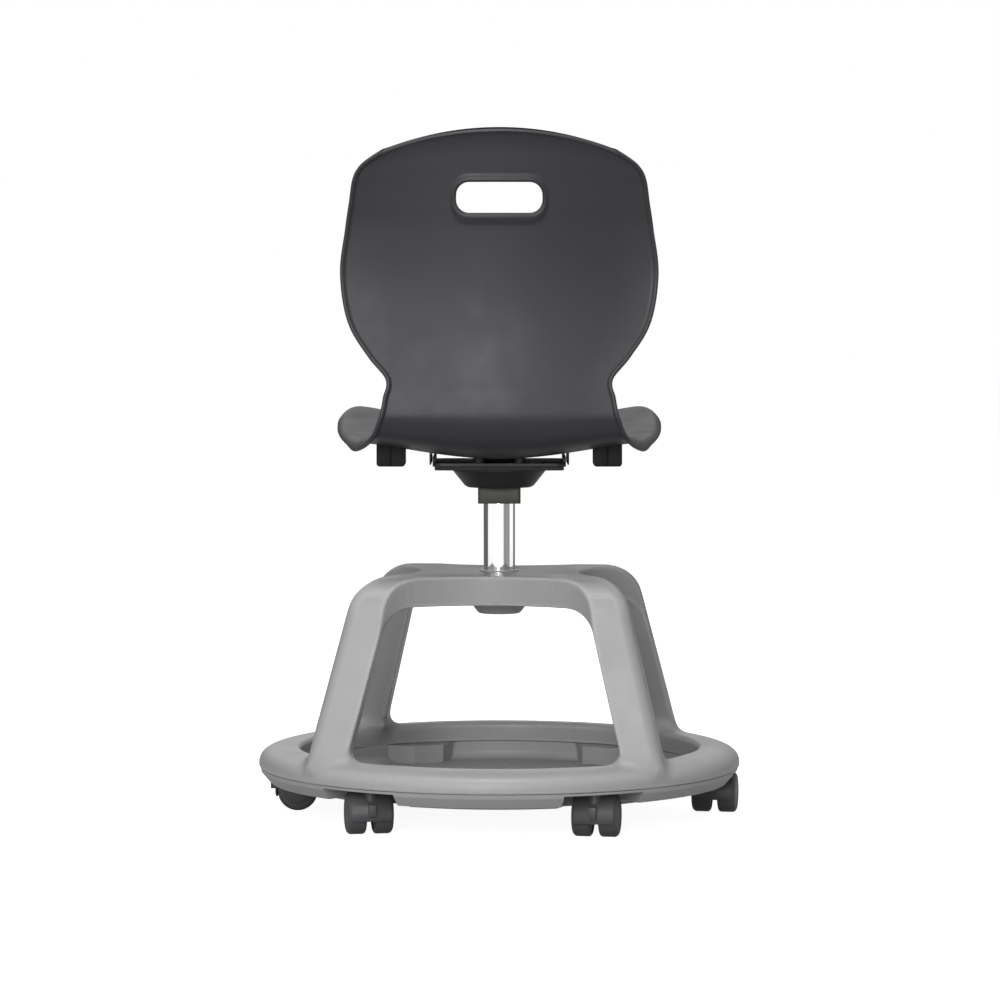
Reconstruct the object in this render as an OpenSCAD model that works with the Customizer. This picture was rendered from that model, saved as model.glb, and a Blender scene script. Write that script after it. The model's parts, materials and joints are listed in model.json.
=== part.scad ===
// School swivel chair: one-piece plastic seat shell on a swivel column, standing on a
// moulded four-legged base whose foot ring carries a storage tray and six twin-wheel castors.
// The origin is on the floor at the swivel axis, the front of the seat faces -Y, +Z is up.

/* [Seat shell] */
// Wall thickness of the moulded shell
shell_wall = 5; // [4:0.5:7]
// Height of the lowest point of the seat pan above the floor
seat_height = 428; // [420:1:440]
// Half width of the seat at its widest
seat_half = 198; // [185:1:208]
// Half width of the back at its widest
back_half = 184.5; // [165:1:200]
// Half width of the waist between seat and back
waist_half = 131.5; // [115:1:145]
// Height of the back above the seat pan
back_rise = 383.5; // [340:0.5:420]
// How far the sides of the seat rise above its centre line
seat_dish = 27; // [10:1:34]
// How far the outer edge of the seat turns down
edge_turn = 18; // [13:0.5:24]
// How far the sides of the back come forward
back_wrap = 28; // [10:1:40]
// How far the top edge of the back rolls backwards
lip_roll = 9; // [4:0.5:12]
// Extra thickness of the rolled top edge
lip_swell = 1.5; // [0:0.25:2.5]
// Width of the hand slot
slot_w = 99; // [80:1:110]
// Height of the hand slot
slot_h = 35; // [25:1:38]
// Distance of the slot's centre below the top of the back
slot_drop = 80.5; // [65:0.5:95]

/* [Seat mounting] */
// Width of the pressed seat plate
plate_w = 158; // [140:1:170]
// Depth of the pressed seat plate
plate_d = 150; // [130:1:165]
// Sheet thickness of the seat plate
plate_t = 3; // [2:0.5:4]
// Height of the seat plate's rim
rim_h = 4.5; // [3:0.5:7]
// Corner radius of the seat plate
plate_round = 12; // [6:0.5:16]
// Height of the plate's side flanges
flange_h = 10; // [6:0.5:11]
// Distance of the swivel cone's rim from the sides of the plate
cone_inset = 23; // [20:0.5:26]
// Distance of the fixing screws from the centre line
screw_x = 24; // [20:0.5:26]
// Distance of the fixing screws from the front and back edges of the plate
screw_inset = 13; // [12:0.5:14]
// Width of a rubber buffer
buffer_w = 34; // [24:1:40]
// Depth of a rubber buffer
buffer_d = 38; // [26:1:50]
// Distance of a buffer's centre from the widest edge of the seat
buffer_inset = 70; // [63:1:83]

/* [Column] */
// Outer diameter of the chrome column
column_d = 38; // [32:0.5:42]
// Wall thickness of the column
column_wall = 2; // [1.5:0.25:3]
// Diameter of the swivel spindle
spindle_d = 24; // [20:0.5:26]
// Width of the square bearing block
block_w = 51; // [48:0.5:56]

/* [Base] */
// Turn of the base against the seat at rest
base_turn = -5; // [-45:1:45]
// Outer radius of the foot ring
ring_r = 288; // [280:1:300]
// Width of the foot ring
ring_w = 50; // [46:1:58]
// Height of the foot ring's top above the floor
ring_top = 80; // [76:1:90]
// Height of the joint between foot ring and tray
part_z = 55.5; // [54:0.5:58]
// Height of the deck's top above the floor
deck_top = 288; // [270:1:310]
// Thickness of the deck
deck_t = 35; // [28:1:45]
// Side of a leg's square section
leg_w = 47; // [38:1:54]
// Half width of the deck midway between the legs
waist_deck = 96; // [84:1:104]
// Distance of the legs' outer corners from the edge of the foot ring
leg_edge = 2.5; // [1:0.5:8]
// Inward lean of the legs in mm per mm of height
leg_lean = 0.245; // [0.15:0.005:0.3]
// Radius of a leg's outer corners
leg_round = 14; // [6:1:18]

/* [Tray] */
// Wall thickness of the tray
tray_wall = 2.5; // [2:0.25:3.5]
// Height of the tray's floor, underside
tray_z = 31.5; // [28:0.5:36]
// Height of the skirt's lower edge
skirt_z = 39; // [34:0.5:44]
// Diameter of a drain hole
drain_d = 8; // [5:0.5:12]
// Distance of the drain holes from the axis
drain_r = 160; // [120:1:175]
// Distance of the tray screws from the edge of the foot ring
screw_edge = 26; // [22:0.5:30]

/* [Castors] */
// Number of castors
castor_count = 6; // [6:1:6]
// Distance of the castor stems from the edge of the foot ring
stem_edge = 31; // [28:0.5:33]
// Diameter of a castor wheel
wheel_d = 48; // [44:1:50]
// Width of one castor wheel
wheel_w = 22; // [18:0.5:23]
// Space between the two wheels of a castor
wheel_gap = 9; // [8:0.5:11]
// Distance of the wheel axle behind the stem
trail = 14; // [10:0.5:15]
// Diameter of a castor stem
stem_d = 10; // [8:0.5:11]
// Diameter of a wheel axle
axle_d = 6; // [5:0.5:7]

/* [Hidden] */
castor_heading = [180, 280, 260, 260, 250, 290];
castor_parts = ["housing", "stem", "axle", "wheel_left", "wheel_right"];

fit = 0.05;
seat_gap = 0.3;
eps = 0.01;
buffer_x = seat_half - buffer_inset;
ring_in = ring_r - ring_w;
stem_r = ring_r - stem_edge;
tray_screw_r = ring_r - screw_edge;
leg_spread = (ring_r - leg_edge - leg_round) / sqrt(2) + leg_round;
wheel_r = wheel_d / 2;
tread_round = 5;
// A length that passes right through the base
through = 2 * ring_r;

// Seat shell, lofted along a centre line that runs from the front lip to the top of the back.
// Each station holds depth, height above the pan, half width, side lift, edge turn, top arch
// and the share of the half width over which the edge turns.
edge_fold = 0.045;
shell_stations = [
    [-214,   4, seat_half - 44, seat_dish - 10, edge_turn - 10, 0, 0.16],
    [-207,  15, seat_half - 27, seat_dish - 5, edge_turn - 6, 0, 0.16],
    [-188,  22, seat_half - 12, seat_dish - 1.5, edge_turn - 1, 0, 0.14],
    [-150,  23, seat_half - 1, seat_dish - 0.5, edge_turn - 1, 0, 0.11],
    [ -95,  17, seat_half - 1, seat_dish - 7, edge_turn - 4, 0, 0.07],
    [ -30,   6, seat_half - 7, seat_dish - 8, edge_turn - 9, 0, edge_fold],
    [  35,   0, seat_half - 17, seat_dish - 8, edge_turn - 9, 0, edge_fold],
    [  90,   1, seat_half - 28.5, seat_dish - 10, edge_turn - 5, 0, 0.06],
    [  150,  15, waist_half + 19, seat_dish - 14, edge_turn - 9, 0, 0.05],
    [173.5,  42, waist_half + 8, seat_dish - 15, 6, 0, edge_fold],
    [174.5,  72, waist_half + 2, back_wrap * 0.45, 6, 0, edge_fold],
    [  170,  95, waist_half - 1, back_wrap * 0.45, 6, 0, edge_fold],
    [166.5, 122, waist_half + 21, back_wrap * 0.6, 5, 0, edge_fold],
    [  165, 160, back_half - 8.5, back_wrap * 0.8, 5, 0, edge_fold],
    [  169, 212, back_half, back_wrap, 5, 0, edge_fold],
    [  177, 262, back_half - 6, back_wrap, 5, 2, edge_fold],
    [  185, back_rise - 84, back_half - 11, back_wrap * 0.9, 5, 8, edge_fold],
    [ 193, back_rise - 44, back_half - 15.5, back_wrap * 0.8, 5, 20, edge_fold],
    [ 196, back_rise - 22, back_half - 23.5, back_wrap * 0.7, 5, 27.5, edge_fold],
    [ 198, back_rise - 9, back_half - 35, back_wrap * 0.6, 4, 31, edge_fold],
    [ 200, back_rise - 3, back_half - 49, back_wrap * 0.55, 3, 29, edge_fold]];
last_station = len(shell_stations) - 1;
edge_start = 0.84;
roll_start = 17;
rows_per_station = 2;
shell_rows = last_station * rows_per_station;
shell_columns = 28;

function clamp_index(i) = max(0, min(last_station, i));
function spline(a, b, c, d, f) =
    b + 0.5 * f * (c - a + f * (2 * a - 5 * b + 4 * c - d + f * (3 * (b - c) + d - a)));
function station(u) =
    let (i = min(floor(u), last_station - 1), f = u - i)
    spline(shell_stations[clamp_index(i - 1)], shell_stations[i],
           shell_stations[i + 1], shell_stations[clamp_index(i + 2)], f);
function path_tangent(u) =
    let (a = station(max(0, u - 0.1)), b = station(min(last_station, u + 0.1)),
         d = [b[0] - a[0], b[1] - a[1]])
    d / norm(d);
function lift(t) = let (a = min(1, abs(t) / edge_start)) a * a * (1.6 - 0.6 * a);
function turn_down(t, share) = pow(max(0, abs(t) - 1 + share) / share, 2.2);
// The top edge rolls backwards, most of all in the middle
function roll_back(u, t) =
    lip_roll * pow(max(0, u - roll_start) / (last_station - roll_start), 2.2) * (1 - 0.55 * t * t);
function mid_surface(u, t) =
    let (s = station(u), d = path_tangent(min(u, roll_start)),
         off = s[3] * lift(t) - s[4] * turn_down(t, s[6]), arch = s[5] * t * t)
    [s[2] * t,
     s[0] - d[1] * off - d[0] * arch + roll_back(u, t),
     seat_height + s[1] + d[0] * off - d[1] * arch];
function unit(v) = v / norm(v);
function surface_normal(u, t) =
    let (h = 0.02, u0 = max(0, u - h), u1 = min(last_station, u + h),
         t0 = max(-1, t - h), t1 = min(1, t + h))
    unit(cross(mid_surface(u, t1) - mid_surface(u, t0), mid_surface(u1, t) - mid_surface(u0, t)));
function wall_at(u) = shell_wall + lip_swell * max(0, u - last_station + 1);
function skin(u, t, side) = mid_surface(u, t) + side * wall_at(u) / 2 * surface_normal(u, t);
// Columns stand closer together towards the folded edges
function column_t(j) = let (s = 2 * j / shell_columns - 1) s * (1.5 - 0.5 * s * s);

// Triangles of a closed sheet: an upper and a lower grid of points and the rim between them.
function cell(a, b, c, d) = [[a, b, c], [a, c, d]];
function grid_faces(n, m) =
    let (w = m + 1, low = (n + 1) * w)
    concat(
        [for (i = [0:n - 1]) for (j = [0:m - 1]) let (a = i * w + j)
            each cell(a, a + w, a + w + 1, a + 1)],
        [for (i = [0:n - 1]) for (j = [0:m - 1]) let (a = low + i * w + j)
            each cell(a, a + 1, a + w + 1, a + w)],
        [for (j = [0:m - 1]) each cell(j, j + 1, low + j + 1, low + j)],
        [for (j = [0:m - 1]) let (a = n * w + j) each cell(a + 1, a, low + a, low + a + 1)],
        [for (i = [0:n - 1]) let (a = i * w) each cell(a + w, a, low + a, low + a + w)],
        [for (i = [0:n - 1]) let (a = i * w + m) each cell(a, a + w, low + a + w, low + a)]);

module shell_sheet() {
    us = [for (i = [0:shell_rows]) i / rows_per_station];
    ts = [for (j = [0:shell_columns]) column_t(j)];
    polyhedron(
        concat([for (u = us) for (t = ts) skin(u, t, 1)],
               [for (u = us) for (t = ts) skin(u, t, -1)]),
        grid_faces(shell_rows, shell_columns));
}

// Space below one stretch of the seat, down to a floor height. The upper side lies a given
// depth under the middle of the shell.
module space_below(u0, u1, t0, t1, floor_z, depth) {
    n = (u1 - u0) * rows_per_station;
    m = 6;
    us = [for (i = [0:n]) u0 + i / rows_per_station];
    ts = [for (j = [0:m]) t0 + (t1 - t0) * j / m];
    top = [for (u = us) for (t = ts) mid_surface(u, t) - depth * surface_normal(u, t)];
    polyhedron(concat(top, [for (p = top) [p[0], p[1], floor_z]]), grid_faces(n, m));
}

slot_z = seat_height + back_rise - slot_drop;
slot_round = slot_h * 0.42;
lip_r = 3;
lip_steps = 32;
lip_out = 1.7;
back_line = [for (i = [11:last_station]) [seat_height + shell_stations[i][1], shell_stations[i][0]]];
function back_y(x, z) = lookup(z, back_line) - back_wrap * 0.9 * lift(x / back_half);
function slot_edge(k) =
    let (a = 360 * (k + 0.5) / lip_steps, sx = cos(a) < 0 ? -1 : 1, sz = sin(a) < 0 ? -1 : 1,
         x = sx * (slot_w / 2 - slot_round) + (slot_round + lip_out) * cos(a),
         z = slot_z + sz * (slot_h / 2 - slot_round) + (slot_round + lip_out) * sin(a))
    [x, back_y(x, z) + shell_wall / 2 - lip_r * 0.4, z];

module slot_lip() {
    for (k = [0:lip_steps - 1]) hull() {
        translate(slot_edge(k)) sphere(lip_r, $fn = 10);
        translate(slot_edge(k + 1)) sphere(lip_r, $fn = 10);
    }
}

module slot_cut() {
    translate([0, back_wrap + 200, slot_z]) rotate([90, 0, 0]) linear_extrude(120)
        hull() for (x = [-1, 1]) for (z = [-1, 1])
            translate([x * (slot_w / 2 - slot_round), z * (slot_h / 2 - slot_round)])
                circle(slot_round, $fn = 36);
}

// Seat mounting heights, from the plate up and down
plate_z = seat_height - 11;
plate_top = plate_z + plate_t;
screw_y = plate_d / 2 - screw_inset;
boss_d = 12;
pilot_d = 5;
rib_t = 1.6;
rib_x = plate_w / 2 + 3;
rib_len = 120;
rib_z = plate_z;

module shell_bosses() {
    intersection() {
        space_below(4, 8, -0.62, 0.62, rib_z, 0);
        union() {
            for (x = [-screw_x, screw_x]) for (y = [-screw_y, screw_y])
                translate([x, y, plate_top]) cylinder(60, d = boss_d, $fn = 32);
            for (x = [-rib_x, rib_x])
                translate([x - rib_t / 2, -rib_len / 2, rib_z]) cube([rib_t, rib_len, 60]);
        }
    }
}

module seat_shell() color("#47474a") difference() {
    union() {
        shell_sheet();
        slot_lip();
        shell_bosses();
    }
    slot_cut();
    for (x = [-screw_x, screw_x]) for (y = [-screw_y, screw_y])
        translate([x, y, plate_top - 1]) cylinder(11, d = pilot_d, $fn = 24);
}

// Rubber buffers under the seat
buffer_z = seat_height - 12;
buffer_y = 58;
buffer_round = 4;
module buffer(side) {
    groove = 1;
    intersection() {
        space_below(5, 8, side > 0 ? 0.5 : -0.98, side > 0 ? 0.98 : -0.5, buffer_z,
                    shell_wall / 2 + seat_gap / 2);
        difference() {
            translate([side * buffer_x, buffer_y, buffer_z]) rotate([90, 0, 0])
                translate([0, 0, -buffer_d / 2]) linear_extrude(buffer_d) buffer_outline();
            for (y = [-1, 1])
                translate([side * buffer_x - groove / 2, buffer_y + y * buffer_d / 2 - groove, 0])
                    cube([groove, 2 * groove, 2 * seat_height]);
        }
    }
}
module buffer_outline() {
    h = 60;
    union() {
        translate([-buffer_w / 2, buffer_round]) square([buffer_w, h]);
        translate([-buffer_w / 2 + buffer_round, 0]) square([buffer_w - 2 * buffer_round, h]);
        for (s = [-1, 1])
            translate([s * (buffer_w / 2 - buffer_round), buffer_round])
                circle(buffer_round, $fn = 32);
    }
}
module buffer_left() color("#1a1a1b") buffer(1);
module buffer_right() color("#1a1a1b") buffer(-1);

// Pressed seat plate with turned-down rim, side flanges and a raised centre
dome_r = 28;
dome_h = 5;
hole_d = 6.5;
module rounded_slab(w, d, h, r) {
    linear_extrude(h) union() {
        square([w - 2 * r, d], center = true);
        square([w, d - 2 * r], center = true);
        for (x = [-1, 1]) for (y = [-1, 1])
            translate([x * (w / 2 - r), y * (d / 2 - r)]) circle(r, $fn = 32);
    }
}
module seat_plate() color("#323234") {
    step = 2.4;
    step_h = 4.3;
    flange_len = plate_d - 2 * plate_round;
    difference() {
        union() {
            translate([0, 0, plate_top - rim_h]) rounded_slab(plate_w, plate_d, rim_h, plate_round);
            translate([0, 0, plate_top - rim_h - step_h])
                rounded_slab(plate_w - 2 * step, plate_d - 2 * step, step_h + eps, plate_round - step);
            translate([0, 0, plate_top - eps]) cylinder(dome_h, dome_r + 3, dome_r, $fn = 64);
            for (x = [-1, 1])
                translate([x * (plate_w / 2 - plate_t / 2) - plate_t / 2, -flange_len / 2, plate_z])
                    cube([plate_t, flange_len, flange_h]);
        }
        translate([0, 0, plate_z - 2 * rim_h])
            rounded_slab(plate_w - 2 * step - 2 * plate_t, plate_d - 2 * step - 2 * plate_t, 2 * rim_h,
                         plate_round - step - plate_t);
        translate([0, 0, plate_z - 1]) cylinder(dome_h + 1, dome_r, dome_r - 2, $fn = 64);
        for (x = [-screw_x, screw_x]) for (y = [-screw_y, screw_y])
            translate([x, y, plate_z - 1]) cylinder(plate_t + 2, d = hole_d, $fn = 32);
    }
}

washer_t = 1.5;
head_h = 3.5;
module plate_screws() color("#8a8a8d")
    for (x = [-screw_x, screw_x]) for (y = [-screw_y, screw_y])
        translate([x, y, plate_z - washer_t]) {
            translate([0, 0, -head_h]) cylinder(head_h, d1 = 8, d2 = 10.5, $fn = 32);
            translate([0, 0, -eps]) cylinder(plate_t + washer_t + 9, d = pilot_d - 2 * fit, $fn = 32);
        }
module plate_washers() color("#9a9a9d")
    for (x = [-screw_x, screw_x]) for (y = [-screw_y, screw_y])
        translate([x, y, plate_z - washer_t]) difference() {
            cylinder(washer_t, d = 12, $fn = 32);
            translate([0, 0, -1]) cylinder(washer_t + 2, d = pilot_d + 2 * fit, $fn = 32);
        }

// Swivel: the block turns on a spindle held in the column's top
block_drop = 58.5;
block_gap = 12;
block_z = seat_height - block_drop;
block_h = 19;
block_top = plate_z - block_gap;
bush_wall = 3;
bush_z = block_z + 9.8;
flange_t = 2;
shoulder_z = bush_z - flange_t - 0.3;
cone_t = 2.5;
cone_collar = 8.5;
cone_bevel = 3.5;
block_neck = spindle_d / 2 + bush_wall + 5;
module swivel_cone() color("#2c2c2e") {
    z0 = block_z + block_h;
    z1 = z0 + 2;
    z2 = plate_z - cone_collar;
    top_r = plate_w / 2 - cone_inset;
    low_r = block_w / sqrt(2) + 2;
    hole_r = block_neck + 2 * fit;
    rotate_extrude($fn = 96) polygon([
        [hole_r, z0], [low_r, z0], [low_r + cone_bevel, z1], [top_r, z2], [top_r, plate_z],
        [top_r - cone_t, plate_z], [top_r - cone_t, z2 + cone_t / 2],
        [low_r + cone_bevel - cone_t / 2, z1 + cone_t], [low_r - cone_t / 2, z0 + cone_t],
        [hole_r, z0 + cone_t]]);
}
module swivel_block() color("#464641") difference() {
    union() {
        translate([0, 0, block_z]) rounded_slab(block_w, block_w, block_h, 4);
        translate([0, 0, block_z]) cylinder(block_top - block_z, r = block_neck, $fn = 64);
    }
    translate([0, 0, block_z - 1]) cylinder(bush_z - block_z + 1, d = column_d + 1, $fn = 64);
    translate([0, 0, block_z - 1])
        cylinder(block_top, d = spindle_d + 2 * bush_wall + 2 * fit, $fn = 64);
}
module swivel_bush() color("#d8d6cc") difference() {
    union() {
        translate([0, 0, bush_z - flange_t]) cylinder(flange_t, d = column_d - 1, $fn = 64);
        translate([0, 0, bush_z - eps])
            cylinder(block_top - bush_z - 1, d = spindle_d + 2 * bush_wall, $fn = 64);
    }
    translate([0, 0, bush_z - 10]) cylinder(60, d = spindle_d + 2 * fit, $fn = 64);
}
module swivel_spindle() color("#a5a6a8") {
    plug = 26;
    shoulder = 4;
    groove_z = block_top + seat_gap + 2;
    difference() {
        union() {
            translate([0, 0, shoulder_z - flange_t - shoulder - plug])
                cylinder(plug, d = column_d - 2 * column_wall - 2 * fit, $fn = 64);
            translate([0, 0, shoulder_z - flange_t - shoulder - eps])
                cylinder(shoulder + eps, d = column_d, $fn = 64);
            translate([0, 0, shoulder_z - flange_t - eps])
                cylinder(groove_z + 5 - shoulder_z + flange_t, d = spindle_d, $fn = 64);
        }
        translate([0, 0, groove_z]) difference() {
            cylinder(1.6, d = spindle_d + 4, $fn = 64);
            translate([0, 0, -1]) cylinder(4, d = spindle_d - 3, $fn = 64);
        }
    }
}
module thrust_washer() color("#b9b9bb") translate([0, 0, shoulder_z - flange_t]) difference() {
    cylinder(flange_t, d = column_d - 1, $fn = 64);
    translate([0, 0, -1]) cylinder(flange_t + 2, d = spindle_d + 2 * fit, $fn = 64);
}
module clip_washer() color("#b9b9bb") translate([0, 0, block_top + seat_gap]) difference() {
    cylinder(2, d = spindle_d + 2 * bush_wall + 6, $fn = 64);
    translate([0, 0, -1]) cylinder(4, d = spindle_d + 2 * fit, $fn = 64);
}
module spindle_clip() color("#6c6c70") translate([0, 0, block_top + seat_gap + 2]) difference() {
    cylinder(1.5, d = spindle_d + 5, $fn = 64);
    translate([0, 0, -1]) cylinder(4, d = spindle_d - 3 + 2 * fit, $fn = 64);
    translate([0, -3, -1]) cube([spindle_d, 6, 4]);
}

// Column, held in the hub by a sleeve and a bolt from below
socket_z = deck_top - deck_t - 3;
boss_h = 16;
boss_r = 37;
boss_z = deck_top - deck_t - boss_h;
column_top = shoulder_z - flange_t - 4;
plug_h = 16;
bolt_d = 10;
sleeve_wall = 2.5;
module column_tube() color("#c9cbce") translate([0, 0, socket_z]) difference() {
    cylinder(column_top - socket_z, d = column_d, $fn = 96);
    translate([0, 0, -1]) cylinder(column_top, d = column_d - 2 * column_wall, $fn = 96);
}
module column_plug() color("#8d8e90") translate([0, 0, socket_z]) difference() {
    cylinder(plug_h, d = column_d - 2 * column_wall - 2 * fit, $fn = 64);
    translate([0, 0, -1]) cylinder(plug_h + 2, d = bolt_d + 2 * fit, $fn = 32);
}
module hub_sleeve() color("#b4b5b6") difference() {
    union() {
        translate([0, 0, socket_z])
            cylinder(deck_top - socket_z, d = column_d + 2 * sleeve_wall, $fn = 96);
        translate([0, 0, deck_top - eps]) cylinder(1.5, d = column_d + 2 * sleeve_wall + 3, $fn = 96);
    }
    translate([0, 0, socket_z - 1]) cylinder(80, d = column_d + 2 * fit, $fn = 96);
}
bolt_head = 6;
recess_z = socket_z - 5;
module column_bolt() color("#7d7e80") {
    translate([0, 0, recess_z - washer_t - bolt_head]) cylinder(bolt_head, d = 17, $fn = 6);
    translate([0, 0, recess_z - washer_t - eps])
        cylinder(plug_h + socket_z - recess_z + washer_t - 1, d = bolt_d, $fn = 32);
}
module column_washer() color("#9a9a9d") translate([0, 0, recess_z - washer_t]) difference() {
    cylinder(washer_t, d = 20, $fn = 48);
    translate([0, 0, -1]) cylinder(washer_t + 2, d = bolt_d + 2 * fit, $fn = 32);
}

// Base frame: foot ring, four leaning legs and a deck with hollowed sides, in one moulding
ring_crest = 4;
ring_wall = 4;
crown_steps = 10;
function crown(r0, r1, z0, z1) =
    [for (i = [0:crown_steps]) let (a = 90 * i / crown_steps)
        [r1 - (r1 - r0) * (1 - pow(sin(a), 2 / 3)), z0 + (z1 - z0) * pow(cos(a), 2 / 3)]];
function ring_outline(inset) =
    concat([[ring_in + inset, part_z - (inset > 0 ? 1 : 0)],
            [ring_in + inset, ring_top - ring_crest - inset / 2]],
           crown(ring_in + ring_crest, ring_r - inset, part_z + 1.5, ring_top - inset),
           [[ring_r - inset - (inset > 0 ? 0 : 1.5), part_z - (inset > 0 ? 1 : 0)]]);

function leg_out(z) = leg_spread - leg_lean * (z - ring_top);
function leg_in(z) = leg_out(z) - leg_w;
shoulder_r = 46;
arch_r = 34;
lean_angle = atan(leg_lean);
arc_steps = 8;
// Outline of one side of the legs: a leaning edge that bends over into the deck's top.
// The shift moves the edge outwards.
function shoulder_outline(shift) =
    let (span = 90 - lean_angle,
         cz = deck_top - shoulder_r,
         cx = leg_out(cz + shoulder_r * sin(lean_angle)) + shift - shoulder_r * cos(lean_angle))
    concat([[leg_out(0) + shift, 0]],
           [for (i = [0:arc_steps]) let (a = lean_angle + span * i / arc_steps)
               [cx + shoulder_r * cos(a), cz + shoulder_r * sin(a)]]);
module mirrored_prism(points, turn) {
    outline = concat(points, [for (i = [len(points) - 1:-1:0]) [-points[i][0], points[i][1]]]);
    rotate([0, 0, turn]) rotate([90, 0, 0]) translate([0, 0, -through / 2]) linear_extrude(through)
        polygon(outline);
}
module legs_envelope() intersection() {
    mirrored_prism(shoulder_outline(0), 0);
    mirrored_prism(shoulder_outline(0), 90);
    corner_prism(45);
    corner_prism(-45);
    corner_prism(22.5);
    corner_prism(-22.5);
    corner_prism(67.5);
    corner_prism(-67.5);
    cylinder(through, r = ring_r - 1, $fn = 128);
}
// A prism whose sides touch the rounded leg corner at a given angle, all the way over the shoulder.
// It stands a little higher, so that no four faces meet in one point.
corner_rise = 0.3;
module corner_prism(turn) {
    k = cos(turn) + abs(sin(turn));
    rise = corner_rise * abs(sin(2 * turn));
    mirrored_prism([for (p = shoulder_outline(0))
        [(p[0] - leg_round) * k + leg_round, p[1] + (p[1] > 0 ? rise : 0)]], turn);
}
foot_flare = 7;
foot_r = 10;
module arch_cut(turn) {
    z1 = deck_top - deck_t;
    cz = z1 - arch_r;
    cx = leg_in(cz + arch_r * sin(lean_angle)) - arch_r * cos(lean_angle);
    foot_z = ring_top + foot_r;
    mirrored_prism(concat(
        [[leg_in(ring_top) - foot_flare, -1], [leg_in(ring_top) - foot_flare, ring_top]],
        [for (i = [1:4]) let (a = 90 - 90 * i / 4)
            [leg_in(foot_z) - foot_flare * sin(a), foot_z - foot_r * cos(90 - a)]],
        [for (i = [0:arc_steps]) let (a = lean_angle + (90 - lean_angle) * i / arc_steps)
            [cx + arch_r * cos(a), cz + arch_r * sin(a)]]), turn);
}
deck_half = leg_out(deck_top);
hollow_x = deck_half - leg_w + 4;
hollow_y = deck_half - 4;
hollow_sag = hollow_y - waist_deck;
hollow_r = (hollow_x * hollow_x + hollow_sag * hollow_sag) / (2 * hollow_sag);
socket_boss_d = 20;
socket_d = 14;
socket_h = 14.5;
tray_screw_d = 4;
tray_screw_len = 14;
tray_boss_d = 10;
tray_flange_t = 3;
module base_frame() color("#9c9c9c") rotate([0, 0, base_turn]) difference() {
    union() {
        difference() {
            legs_envelope();
            arch_cut(0);
            arch_cut(90);
            for (a = [0:90:270]) rotate([0, 0, a])
                translate([0, waist_deck + hollow_r, (ring_top + deck_top) / 2])
                    cylinder(through, r = hollow_r, $fn = 128);
            translate([0, 0, -1]) cylinder(part_z + 1, r = through, $fn = 64);
        }
        difference() {
            rotate_extrude($fn = 128) polygon(ring_outline(0));
            rotate_extrude($fn = 128) polygon(ring_outline(ring_wall));
        }
        intersection() {
            rotate_extrude($fn = 128) polygon(ring_outline(0));
            union() {
                for (k = [0:castor_count - 1]) rotate([0, 0, k * 360 / castor_count])
                    translate([stem_r, 0, part_z]) cylinder(ring_top - part_z, d = socket_boss_d, $fn = 48);
                for (k = [0:castor_count - 1]) rotate([0, 0, (k + 0.5) * 360 / castor_count])
                    translate([tray_screw_r, 0, part_z])
                        cylinder(ring_top - part_z, d = tray_boss_d, $fn = 32);
            }
        }
        translate([0, 0, boss_z]) cylinder(boss_h + eps, boss_r - 12, boss_r, $fn = 96);
    }
    translate([0, 0, socket_z]) cylinder(80, d = column_d + 2 * sleeve_wall + 2 * fit, $fn = 96);
    translate([0, 0, boss_z - 1]) cylinder(40, d = bolt_d + 0.6, $fn = 48);
    translate([0, 0, boss_z - 1]) cylinder(recess_z - boss_z + 1, d = 21, $fn = 48);
    for (k = [0:castor_count - 1]) rotate([0, 0, k * 360 / castor_count])
        translate([stem_r, 0, part_z - 1])
            cylinder(socket_h + 1.5, d = socket_d + 2 * fit, $fn = 48);
    for (k = [0:castor_count - 1]) rotate([0, 0, (k + 0.5) * 360 / castor_count])
        translate([tray_screw_r, 0, part_z - 1])
            cylinder(tray_screw_len + 2 - tray_flange_t, d = tray_screw_d, $fn = 32);
}

// Storage tray with skirt; a pocket round each castor leaves room for it to turn
flange_z = part_z - tray_flange_t;
tray_round = 10;
skirt_in = 11;
sweep_gap = 1;
pocket_flare = 6.5;
castor_sweep = norm([trail + wheel_r - tread_round, wheel_gap / 2 + wheel_w - tread_round]) + tread_round;
// Outline of a castor's pocket: half an octagon round the turning castor that opens outwards
function pocket_outline(grow) =
    let (r = castor_sweep + sweep_gap + grow, c = r * tan(22.5), out = stem_edge + 9)
    [[-r, -c], [-c, -r], [out, -r - pocket_flare], [out, r + pocket_flare], [-c, r], [-r, c]];
function corner_arc(r, z, rad) =
    [for (i = [0:5]) let (a = -90 + 18 * i) [r - rad + rad * cos(a), z + rad + rad * sin(a)]];
module tray_section() polygon(concat(
    [[0, tray_z]], corner_arc(ring_in + tray_wall, tray_z, tray_round + tray_wall),
    [[ring_in + tray_wall, flange_z], [ring_r - 5, flange_z], [ring_r - 2 - skirt_in - tray_wall, skirt_z],
     [ring_r - 2 - skirt_in, skirt_z], [ring_r - 3, part_z - 5], [ring_r - 2, part_z], [ring_in, part_z]],
    [for (p = [5:-1:0]) corner_arc(ring_in, tray_z + tray_wall, tray_round)[p]],
    [[0, tray_z + tray_wall]]));
module tray_outside() polygon(concat(
    [[0, tray_z]], corner_arc(ring_in + tray_wall, tray_z, tray_round + tray_wall),
    [[ring_in + tray_wall, skirt_z], [ring_r - 2 - skirt_in, skirt_z], [ring_r - 3, part_z - 5],
     [ring_r - 2, part_z], [0, part_z]]));
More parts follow.
